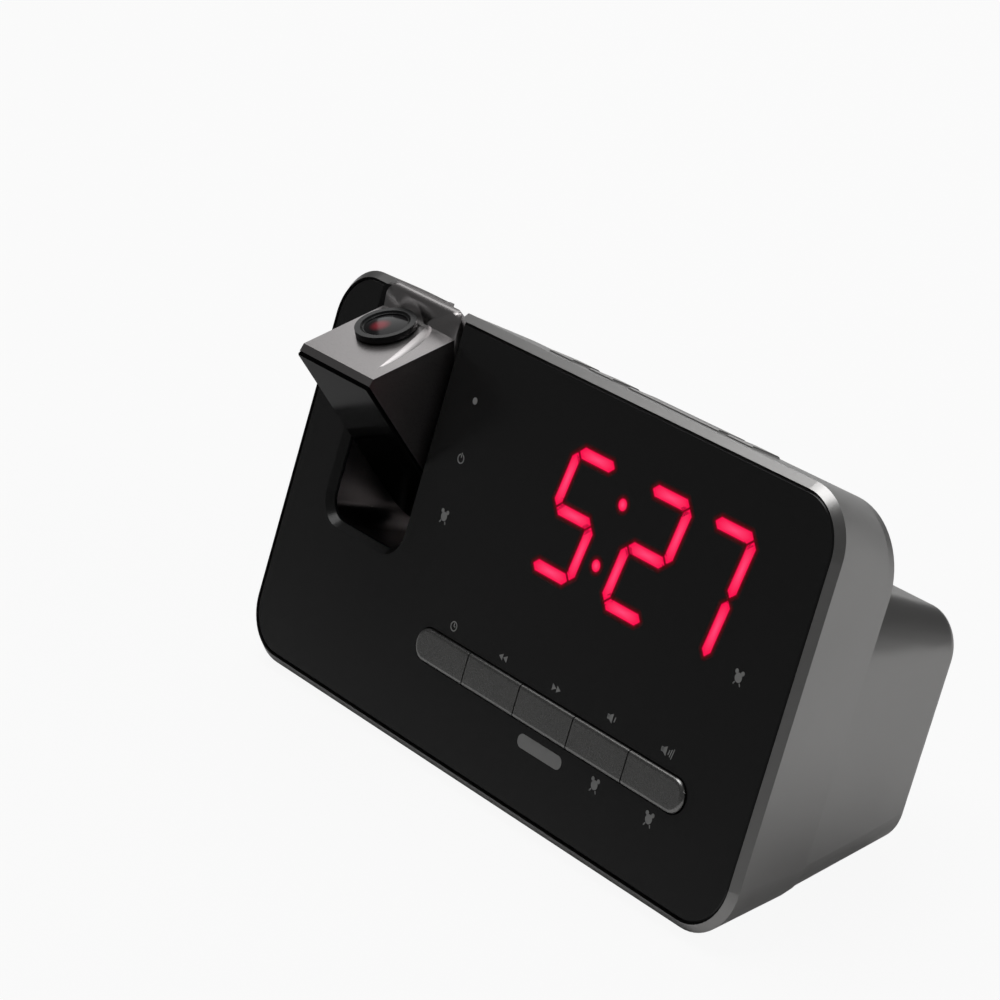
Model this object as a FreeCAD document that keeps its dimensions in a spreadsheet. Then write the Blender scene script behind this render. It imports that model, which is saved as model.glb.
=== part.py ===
import FreeCAD, Part
import math
import os

import Sketcher

# Projection alarm clock, modelled in the frame of its front panel.
# Panel frame: X to the right, Y straight back from the panel, Z up along the panel.
# The placement of every piece then leans the clock back onto its rubber feet.

V = FreeCAD.Vector

# Driving dimensions in millimetres and degrees
SIZES = {
    "lean_angle": 25.7,
    "panel_width": 179.1,
    "panel_height": 95.9,
    "panel_corner": 11.7,
    "panel_thickness": 2.4,
    "panel_setback": 0.2,
    "panel_gap": 0.25,
    "panel_edge": 0.6,
    "rim_width": 1.7,
    "wall": 2.2,
    "backing": 1.8,
    "shell_depth": 21.5,
    "flange": 2.0,
    "back_width": 177.0,
    "back_top": 46.0,
    "back_corner": 17.0,
    "back_base_corner": 9.0,
    "pod_depth": 27.5,
    "pod_inset": 0.4,
    "pod_top": 28.2,
    "pod_top_drop": 2.5,
    "pod_taper": 1.2,
    "pod_corner": 17.5,
    "pod_rear_corner": 9.0,
    "pod_rear_edge": 2.0,
    "head_width": 28.7,
    "head_centre": -58.65,
    "head_low": -8.3,
    "head_top": 48.2,
    "head_wall": 1.6,
    "head_corner": 5.5,
    "head_open": 50.8,
    "face_thickness": 1.0,
    "band_depth": 1.8,
    "band_rise": 0.67,
    "plate_length": 23.3,
    "plate_slope": 19.9,
    "hump_rise": 6.0,
    "hump_run": 4.6,
    "hump_depth": 2.0,
    "hump_back": 11.0,
    "hump_corner": 3.0,
    "tail_depth": 6.0,
    "pivot_depth": 10.5,
    "pivot_height": 16.15,
    "pivot_radius": 2.0,
    "running_clearance": 0.05,
    "bay_gap": 0.5,
    "bay_floor": 2.9,
    "bay_wall": 1.6,
    "bay_corner": 5.0,
    "bay_back": 33.5,
    "bay_rear_top": 39.0,
    "bevel": 1.6,
    "fit_gap": 0.3,
    "lens_offset": -3.35,
    "lens_along": 16.3,
    "ring_radius": 7.4,
    "ring_height": 1.9,
    "ring_room": 1.4,
    "neck_radius": 5.9,
    "neck_length": 7.0,
    "lens_radius": 4.7,
    "key_left": -27.1,
    "key_pitch": 19.4,
    "key_height": 7.9,
    "key_middle": -24.65,
    "key_slit": 0.35,
    "key_proud": 1.0,
    "key_travel": 0.5,
    "key_lip": 1.0,
    "key_edge": 0.5,
    "key_crown": 0.9,
    "top_key_depth": 9.0,
    "top_key_middle": 13.0,
    "top_key_proud": 0.55,
    "top_key_travel": 0.8,
    "small_key_width": 8.5,
    "snooze_width": 31.0,
    "display_left": -20.0,
    "display_width": 92.0,
    "display_base": 0.0,
    "display_height": 38.0,
    "display_depth": 6.5,
    "digit_height": 30.2,
    "digit_width": 14.2,
    "digit_slant": 8.0,
    "segment_width": 2.7,
    "segment_gap": 0.5,
    "board_thickness": 1.6,
    "boss_radius": 3.4,
    "screw_radius": 1.4,
    "screw_head_radius": 2.6,
    "boss_side": 79.0,
    "boss_top": 34.0,
    "boss_low": -18.0,
    "post_radius": 2.6,
    "post_height": -10.3,
    "board_screw_radius": 1.1,
    "speaker_radius": 22.0,
    "speaker_side": 42.0,
    "speaker_height": -1.0,
    "speaker_depth": 12.0,
    "grille_slot": 1.6,
    "grille_pitch": 4.4,
    "battery_radius": 5.25,
    "battery_length": 44.5,
    "battery_play": 0.1,
    "battery_side": -10.0,
    "tray_along": 24.35,
    "tray_wall": 1.0,
    "door_thickness": 2.0,
    "door_ledge": 1.3,
    "door_tab": 9.0,
    "foot_radius": 4.5,
    "foot_height": 1.2,
    "foot_side": 76.0,
    "jack_side": 72.0,
    "jack_height": 0.0,
    "jack_width": 9.0,
    "jack_length": 12.0,
    "jack_bore": 2.8,
    "jack_pin": 0.65,
}

document = FreeCAD.newDocument("projection_alarm_clock")
sheet = document.addObject("Spreadsheet::Sheet", "dims")
for row, (alias, value) in enumerate(SIZES.items(), start=1):
    sheet.set(f"A{row}", alias)
    sheet.set(f"B{row}", str(value))
    sheet.setAlias(f"B{row}", alias)
document.recompute()

nodes = []


def size(alias):
    """Read one driving dimension from the sheet."""
    return float(sheet.get(alias))


def formula(text):
    """Write the names in a formula as references to the sheet."""
    out = []
    word = ""
    for letter in text + " ":
        if letter.isalnum() or letter == "_":
            word += letter
            continue
        out.append(f"dims.{word}" if word in SIZES else word)
        word = ""
        out.append(letter)
    return "".join(out).strip()


def value_of(text):
    """Work out a formula over the sheet's names."""
    result = sheet.evalExpression(formula(text))
    return float(getattr(result, "Value", result))


def bind(thing, name, text):
    """Tie a property of an object to a formula."""
    thing.setExpression(name, formula(text))


def base_line(depth):
    """Height of the underside at a depth behind the panel, where the clock is cut level."""
    return f"(-(panel_height / 2 + rim_width) + tan(lean_angle) * (({depth}) - rim_width))"


def roof_line(depth):
    """Height of the shell's top surface at a depth behind the panel."""
    fall = "(panel_height / 2 + rim_width - back_top) / (shell_depth - rim_width)"
    return f"(panel_height / 2 + rim_width - {fall} * (({depth}) - rim_width))"


def side_line(depth):
    """Half width of the shell at a depth behind the panel."""
    fall = "(panel_width / 2 + rim_width - back_width / 2) / (shell_depth - rim_width)"
    return f"(panel_width / 2 + rim_width - {fall} * (({depth}) - rim_width))"


# Where the main layers lie, as formulas
PANEL_BACK = "(panel_setback + panel_thickness)"
BACKING_BACK = "(panel_setback + panel_thickness + backing)"
PARTING = "(shell_depth - flange)"
POD_REAR = "(shell_depth + pod_depth)"
POD_SIDE = "(back_width / 2 - pod_inset)"
POD_REAR_SIDE = "(back_width / 2 - pod_inset - pod_taper)"
POD_REAR_TOP = "(pod_top - pod_top_drop)"
BAY_SIDE = "(head_width / 2 + bay_gap)"
BAY_FLOOR = "(head_low - bay_floor)"
BAND_TOP_Y = "(face_thickness + band_depth)"
BAND_TOP_Z = "(head_top + band_rise)"
PLATE_END_Y = f"({BAND_TOP_Y} + plate_length * cos(plate_slope))"
PLATE_END_Z = f"({BAND_TOP_Z} - plate_length * sin(plate_slope))"
KEY_SLOT_RIGHT = "(key_left + 5 * key_pitch)"


def new_body(label):
    """Start a PartDesign body."""
    body = document.addObject("PartDesign::Body", label)
    body.Label = label
    return body


def origin_plane(body, role):
    """Find one of the body's own origin planes."""
    for feature in body.Origin.OriginFeatures:
        if feature.Role == role:
            return feature
    raise RuntimeError(f"{body.Label} has no {role}")


def new_sketch(body, name, role, offset="0"):
    """Start a sketch on an origin plane, set off along that plane's normal."""
    sketch = body.newObject("Sketcher::SketchObject", name)
    sketch.AttachmentSupport = [(origin_plane(body, role), "")]
    sketch.MapMode = "FlatFace"
    bind(sketch, "AttachmentOffset.Base.z", offset)
    return sketch


def fix_point(sketch, geometry, end, across, up):
    """Fix one end point of a sketch line by its two coordinates."""
    for kind, text in (("DistanceX", across), ("DistanceY", up)):
        index = sketch.addConstraint(
            Sketcher.Constraint(kind, -1, 1, geometry, end, value_of(text))
        )
        name = f"{kind}_{geometry}_{end}"
        sketch.renameConstraint(index, name)
        bind(sketch, f"Constraints.{name}", text)


def polygon(sketch, corners):
    """Draw a closed polygon through corners given as pairs of formulas."""
    points = [V(value_of(a), value_of(b), 0) for a, b in corners]
    count = len(points)
    first = sketch.GeometryCount
    for i in range(count):
        sketch.addGeometry(Part.LineSegment(points[i], points[(i + 1) % count]), False)
    for i in range(count):
        after = first + (i + 1) % count
        sketch.addConstraint(Sketcher.Constraint("Coincident", first + i, 2, after, 1))
        fix_point(sketch, first + i, 1, *corners[i])


def rounded_outline(sketch, left, right, low, high, low_radius, high_radius):
    """Draw a rectangle whose upper and lower corners have their own radii."""
    corners = (
        (right, low, low_radius, -1, 1, -90),
        (right, high, high_radius, -1, -1, 0),
        (left, high, high_radius, 1, -1, 90),
        (left, low, low_radius, 1, 1, 180),
    )
    lines = (
        ((f"({left}) + ({low_radius})", low), (f"({right}) - ({low_radius})", low)),
        ((right, f"({low}) + ({low_radius})"), (right, f"({high}) - ({high_radius})")),
        ((f"({right}) - ({high_radius})", high), (f"({left}) + ({high_radius})", high)),
        ((left, f"({high}) - ({high_radius})"), (left, f"({low}) + ({low_radius})")),
    )
    first = sketch.GeometryCount
    for i in range(4):
        start, end = lines[i]
        a = V(value_of(start[0]), value_of(start[1]), 0)
        b = V(value_of(end[0]), value_of(end[1]), 0)
        sketch.addGeometry(Part.LineSegment(a, b), False)
        x, z, radius, inward_x, inward_z, angle = corners[i]
        r = value_of(radius)
        centre = V(value_of(x) + inward_x * r, value_of(z) + inward_z * r, 0)
        circle = Part.Circle(centre, V(0, 0, 1), r)
        arc = Part.ArcOfCircle(circle, math.radians(angle), math.radians(angle + 90))
        sketch.addGeometry(arc, False)
    for i in range(4):
        line = first + 2 * i
        arc = line + 1
        following = first + (2 * i + 2) % 8
        sketch.addConstraint(Sketcher.Constraint("Coincident", line, 2, arc, 1))
        sketch.addConstraint(Sketcher.Constraint("Coincident", arc, 2, following, 1))
        fix_point(sketch, line, 1, *lines[i][0])
        fix_point(sketch, line, 2, *lines[i][1])
        index = sketch.addConstraint(
            Sketcher.Constraint("Radius", arc, value_of(corners[i][2]))
        )
        name = f"Radius_{arc}"
        sketch.renameConstraint(index, name)
        bind(sketch, f"Constraints.{name}", corners[i][2])


def circles(sketch, centres, radius):
    """Draw circles of one radius about centres given as pairs of formulas."""
    for across, up in centres:
        centre = V(value_of(across), value_of(up), 0)
        circle = sketch.addGeometry(Part.Circle(centre, V(0, 0, 1), value_of(radius)), False)
        fix_point(sketch, circle, 3, across, up)
        index = sketch.addConstraint(Sketcher.Constraint("Radius", circle, value_of(radius)))
        name = f"Radius_{circle}"
        sketch.renameConstraint(index, name)
        bind(sketch, f"Constraints.{name}", radius)


def front_sketch(body, name, depth):
    """Start a sketch seen from the front, at a depth behind the panel."""
    return new_sketch(body, name, "XZ_Plane", f"-({depth})")


def side_sketch(body, name, across):
    """Start a sketch seen from the side, at a place across the clock."""
    return new_sketch(body, name, "YZ_Plane", across)


def pad_back(body, name, sketch, length):
    """Extrude a front sketch backwards."""
    pad = body.newObject("PartDesign::Pad", name)
    pad.Profile = sketch
    bind(pad, "Length", length)
    pad.Reversed = True
    return pad


def pad_across(body, name, sketch, width):
    """Extrude a side sketch evenly to both sides."""
    pad = body.newObject("PartDesign::Pad", name)
    pad.Profile = sketch
    bind(pad, "Length", width)
    pad.Midplane = True
    return pad


def cut(body, name, sketch, length, across=False):
    """Pocket a sketch backwards, or evenly to both sides, and check that it removed material."""
    document.recompute()
    before = body.Tip.Shape.Volume
    pocket = body.newObject("PartDesign::Pocket", name)
    pocket.Profile = sketch
    bind(pocket, "Length", length)
    pocket.Midplane = across
    document.recompute()
    if not pocket.Shape.Volume < before - 1e-6:
        raise RuntimeError(f"{body.Label} {name} removed nothing")
    return pocket


def loft(body, name, kind, first, second):
    """Loft straight from one outline to another, adding or removing material."""
    feature = body.newObject(f"PartDesign::{kind}Loft", name)
    feature.Profile = first
    feature.Sections = [second]
    feature.Ruled = True
    return feature


def edges_where(shape, test):
    """Names of the edges whose ends and middle all pass a test."""
    found = []
    for i, edge in enumerate(shape.Edges, start=1):
        middle = edge.valueAt((edge.FirstParameter + edge.LastParameter) / 2)
        points = [vertex.Point for vertex in edge.Vertexes] + [middle]
        if all(test(point) for point in points):
            found.append(f"Edge{i}")
    return found


def soften(body, name, kind, distance, test):
    """Fillet or chamfer the edges of the latest feature that pass a test."""
    document.recompute()
    base = body.Tip
    chosen = edges_where(base.Shape, test)
    if not chosen:
        raise RuntimeError(f"{body.Label} {name} found no edges")
    feature = body.newObject(f"PartDesign::{kind}", name)
    feature.Base = (base, chosen)
    bind(feature, "Radius" if kind == "Fillet" else "Size", distance)
    return feature


def near(value, target, within=0.02):
    """Whether two lengths are the same within a small margin."""
    return abs(value - target) < within


def keep(thing, label, local=None):
    """Keep an object as a piece of the clock, with its own placement before the lean."""
    thing.Label = label
    nodes.append((thing, label, local or FreeCAD.Placement()))
    return thing


def block(label, width, depth, height):
    """Make a box whose three sizes are bound to the sheet."""
    box = document.addObject("Part::Box", label)
    bind(box, "Length", width)
    bind(box, "Width", depth)
    bind(box, "Height", height)
    return box


def rod(label, radius, length):
    """Make a cylinder whose sizes are bound to the sheet."""
    cylinder = document.addObject("Part::Cylinder", label)
    bind(cylinder, "Radius", radius)
    bind(cylinder, "Height", length)
    return cylinder


def at(x, y, z, turn=0.0, axis=V(1, 0, 0)):
    """Placement from three formulas and a turn in degrees."""
    where = V(value_of(x), value_of(y), value_of(z))
    return FreeCAD.Placement(where, FreeCAD.Rotation(axis, turn))


def put(thing, placement):
    """Place a helper solid that goes into a boolean."""
    thing.Placement = placement
    return thing


def carve(label, base, tools):
    """Cut several tools from a base."""
    joined = tools[0]
    if len(tools) > 1:
        joined = document.addObject("Part::MultiFuse", f"{label}_tools")
        joined.Shapes = tools
    result = document.addObject("Part::Cut", label)
    result.Base = base
    result.Tool = joined
    return result


def join(label, parts):
    """Fuse several solids into one."""
    result = document.addObject("Part::MultiFuse", label)
    result.Shapes = parts
    return result


def group(label, parts):
    """Hold identical separate solids as one node."""
    result = document.addObject("Part::Compound", label)
    result.Links = parts
    return result


# Top keys: name, centre across and width
TOP_KEYS = (
    ("alarm_one_key", "-16.5", "small_key_width"),
    ("alarm_two_key", "-2", "small_key_width"),
    ("snooze_bar", "23.5", "snooze_width"),
    ("dimmer_key", "46", "small_key_width"),
)

# Keys along the front bar, from the left
FRONT_KEYS = ("memory_key", "rewind_key", "forward_key", "volume_down_key", "volume_up_key")

# Case screw places: across and height
SCREWS = (
    ("boss_side", "boss_top"),
    ("-boss_side", "boss_low"),
    ("boss_side", "boss_low"),
)

# Places of the posts and screws that hold the main board
BOARD_POSTS = (("-28", "post_height"), ("19", "post_height"), ("66", "post_height"))
BOARD_FRONT = f"({PARTING} - 4)"

# Battery tray and door in the underside: lengths along the base and across it
TRAY_WIDTH = "(4 * battery_radius + 3 * battery_play + 2 * tray_wall)"
TRAY_LENGTH = "(battery_length + 3 + 2 * tray_wall)"
TRAY_LOW = "(door_thickness + 2 * fit_gap)"
TRAY_HEIGHT = "(2 * battery_radius + fit_gap + battery_play + tray_wall)"
DOOR_LEFT = f"(battery_side - {TRAY_LENGTH} / 2 - door_tab)"
DOOR_RIGHT = f"(battery_side + {TRAY_LENGTH} / 2 + door_ledge)"
DOOR_NEAR = "(tray_along - door_ledge)"
DOOR_FAR = f"(tray_along + {TRAY_WIDTH} + door_ledge)"
DOOR_MIDDLE = f"({DOOR_NEAR} / 2 + {DOOR_FAR} / 2)"


def make_front_shell():
    """Silver front housing: chamfered rim, tapering walls, panel seat and backing plate."""
    body = new_body("front_shell")
    half_w = "panel_width / 2"
    half_h = "panel_height / 2"
    rim = front_sketch(body, "rim_front", "0")
    rounded_outline(rim, f"-{half_w}", half_w, f"-{half_h}", half_h, "panel_corner", "panel_corner")
    outer = front_sketch(body, "rim_outer", "rim_width")
    out_w = f"({half_w} + rim_width)"
    out_h = f"({half_h} + rim_width)"
    out_r = "(panel_corner + rim_width)"
    rounded_outline(outer, f"-{out_w}", out_w, f"-{out_h}", out_h, out_r, out_r)
    parting = front_sketch(body, "parting_outline", PARTING)
    side = side_line(PARTING)
    rounded_outline(
        parting, f"-{side}", side, base_line(PARTING), roof_line(PARTING), "back_base_corner", "back_corner"
    )
    loft(body, "chamfered_rim", "Additive", rim, outer)
    loft(body, "tapering_walls", "Additive", outer, parting)

    seat = front_sketch(body, "panel_seat", "-1")
    rounded_outline(seat, f"-{half_w}", half_w, f"-{half_h}", half_h, "panel_corner", "panel_corner")
    document.recompute()
    cut(body, "panel_recess", seat, f"1 + {PANEL_BACK}")

    inner_front = front_sketch(body, "cavity_front", BACKING_BACK)
    w_front = f"({side_line(BACKING_BACK)} - wall)"
    rounded_outline(
        inner_front,
        f"-{w_front}",
        w_front,
        f"{base_line(BACKING_BACK)} + wall",
        f"{roof_line(BACKING_BACK)} - wall",
        "panel_corner",
        "panel_corner",
    )
    inner_back = front_sketch(body, "cavity_back", f"{PARTING} + 0.5")
    w_back = f"({side_line(PARTING)} - wall)"
    rounded_outline(
        inner_back,
        f"-{w_back}",
        w_back,
        f"{base_line(PARTING)} + wall",
        f"{roof_line(PARTING)} - wall",
        "back_base_corner - wall",
        "back_corner - wall",
    )
    loft(body, "cavity", "Subtractive", inner_front, inner_back)

    windows = front_sketch(body, "windows", "0")
    polygon(
        windows,
        (
            ("display_left - fit_gap", "display_base - fit_gap"),
            ("display_left + display_width + fit_gap", "display_base - fit_gap"),
            ("display_left + display_width + fit_gap", "display_base + display_height + fit_gap"),
            ("display_left - fit_gap", "display_base + display_height + fit_gap"),
        ),
    )
    low = "key_middle - key_height / 2 - key_lip - 2 * fit_gap"
    high = "key_middle + key_height / 2 + key_lip + 2 * fit_gap"
    left = "key_left - key_lip - 2 * fit_gap"
    right = f"{KEY_SLOT_RIGHT} + key_lip + 2 * fit_gap"
    polygon(windows, ((left, low), (right, low), (right, high), (left, high)))
    cut(body, "windows_cut", windows, f"{BACKING_BACK} + 0.5")

    notch = front_sketch(body, "head_notch", "-1")
    left = f"head_centre - {BAY_SIDE}"
    right = f"head_centre + {BAY_SIDE}"
    polygon(notch, ((left, "0"), (right, "0"), (right, "panel_height"), (left, "panel_height")))
    cut(body, "head_notch_cut", notch, f"1 + {PANEL_BACK} + 0.1")
    gap = front_sketch(body, "bay_gap_outline", PANEL_BACK)
    left = f"head_centre - {BAY_SIDE} - bay_wall - fit_gap"
    right = f"head_centre + {BAY_SIDE} + bay_wall + fit_gap"
    low = f"{BAY_FLOOR} - bay_wall - fit_gap"
    polygon(gap, ((left, low), (right, low), (right, "panel_height"), (left, "panel_height")))
    cut(body, "bay_gap_cut", gap, "shell_depth + 1")

    bosses = front_sketch(body, "boss_circles", f"{BACKING_BACK} - 0.2")
    circles(bosses, SCREWS, "boss_radius")
    pad_back(body, "screw_bosses", bosses, f"{PARTING} - {BACKING_BACK} + 0.2")
    posts = front_sketch(body, "post_circles", f"{BACKING_BACK} - 0.2")
    circles(posts, BOARD_POSTS, "post_radius")
    pad_back(body, "board_posts", posts, f"{BOARD_FRONT} - {BACKING_BACK} + 0.2")
    pilots = front_sketch(body, "pilot_circles", f"{BACKING_BACK} + 3")
    circles(pilots, SCREWS, "screw_radius")
    cut(body, "pilot_holes", pilots, "shell_depth")
    board_pilots = front_sketch(body, "board_pilot_circles", f"{BACKING_BACK} + 3")
    circles(board_pilots, BOARD_POSTS, "board_screw_radius")
    cut(body, "board_pilot_holes", board_pilots, "shell_depth")

    slots = new_sketch(body, "top_key_slots", "XY_Plane", "back_top - 2 * wall")
    for _, centre, width in TOP_KEYS:
        left = f"{centre} - {width} / 2 - fit_gap"
        right = f"{centre} + {width} / 2 + fit_gap"
        near_y = "top_key_middle - top_key_depth / 2 - fit_gap"
        far_y = "top_key_middle + top_key_depth / 2 + fit_gap"
        polygon(slots, ((left, near_y), (right, near_y), (right, far_y), (left, far_y)))
    document.recompute()
    before = body.Tip.Shape.Volume
    pocket = body.newObject("PartDesign::Pocket", "top_key_openings")
    pocket.Profile = slots
    bind(pocket, "Length", "4 * wall")
    pocket.Reversed = True
    document.recompute()
    if not pocket.Shape.Volume < before:
        raise RuntimeError("top key openings removed nothing")
    keep(body, "front_shell")


def make_front_panel():
    """Black gloss panel with the deep cut-out for the projector head and the key slot."""
    body = new_body("front_panel")
    outline = front_sketch(body, "panel_outline", "panel_setback")
    w = "(panel_width / 2 - panel_gap)"
    h = "(panel_height / 2 - panel_gap)"
    rounded_outline(outline, f"-{w}", w, f"-{h}", h, "panel_corner - panel_gap", "panel_corner - panel_gap")
    pad_back(body, "panel_sheet", outline, "panel_thickness")
    front = size("panel_setback")
    soften(body, "panel_edge_bevel", "Chamfer", "panel_edge", lambda p: near(p.y, front))
    slot = front_sketch(body, "key_slot", "-1")
    rounded_outline(
        slot,
        "key_left - fit_gap",
        f"{KEY_SLOT_RIGHT} + fit_gap",
        "key_middle - key_height / 2 - fit_gap",
        "key_middle + key_height / 2 + fit_gap",
        "key_height / 2 + fit_gap - 0.02",
        "key_height / 2 + fit_gap - 0.02",
    )
    cut(body, "key_slot_cut", slot, "panel_thickness + 3")
    notch = front_sketch(body, "head_cutout", "-1")
    low = "head_low - bay_gap - 1"
    rounded_outline(
        notch,
        f"head_centre - {BAY_SIDE}",
        f"head_centre + {BAY_SIDE}",
        low,
        "panel_height",
        "head_corner + bay_gap",
        "head_corner",
    )
    cut(body, "head_cutout_cut", notch, "panel_thickness + 3")
    left = value_of(f"head_centre - {BAY_SIDE}")
    right = value_of(f"head_centre + {BAY_SIDE}")
    top = value_of("panel_height / 2 - panel_gap - panel_edge") - 0.1

    def on_cutout(point):
        inside = left - 0.01 <= point.x <= right + 0.01
        return near(point.y, front) and inside and point.z < top

    soften(body, "cutout_bevel", "Chamfer", "bevel", on_cutout)
    keep(body, "front_panel")


def make_projector_bay():
    """Silver scoop that the projector head swings in."""
    body = new_body("projector_bay")
    block_side = side_sketch(body, "bay_side", "head_centre")
    polygon(
        block_side,
        (
            (PANEL_BACK, f"{BAY_FLOOR} - bay_wall"),
            ("bay_back + bay_wall", f"{BAY_FLOOR} - bay_wall"),
            ("bay_back + bay_wall", "bay_rear_top"),
            ("shell_depth", "bay_rear_top"),
            ("shell_depth", "back_top - fit_gap"),
            (PARTING, "back_top - fit_gap"),
            (PANEL_BACK, roof_line(PANEL_BACK)),
        ),
    )
    pad_across(body, "bay_block", block_side, f"2 * ({BAY_SIDE} + bay_wall)")
    hollow = side_sketch(body, "bay_hollow", "head_centre")
    polygon(
        hollow,
        (
            ("-1", BAY_FLOOR),
            ("bay_back", BAY_FLOOR),
            ("bay_back", "panel_height"),
            ("-1", "panel_height"),
        ),
    )
    document.recompute()
    cut(body, "bay_hollow_cut", hollow, f"2 * {BAY_SIDE}", across=True)
    left = value_of(f"head_centre - {BAY_SIDE}")
    right = value_of(f"head_centre + {BAY_SIDE}")
    floor = value_of(BAY_FLOOR)
    back = size("bay_back")

    def inner_corner(point):
        on_side = near(point.x, left) or near(point.x, right)
        on_floor = near(point.z, floor)
        on_back = near(point.y, back)
        return (on_side and on_floor) or (on_floor and on_back) or (on_side and on_back)

    soften(body, "scooped_corners", "Fillet", "bay_corner", inner_corner)
    bores = side_sketch(body, "pivot_bores", "head_centre")
    circles(bores, (("pivot_depth", "pivot_height"),), "pivot_radius + running_clearance")
    document.recompute()
    cut(body, "pivot_bores_cut", bores, "2 * head_width", across=True)
    keep(body, "projector_bay")


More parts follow.
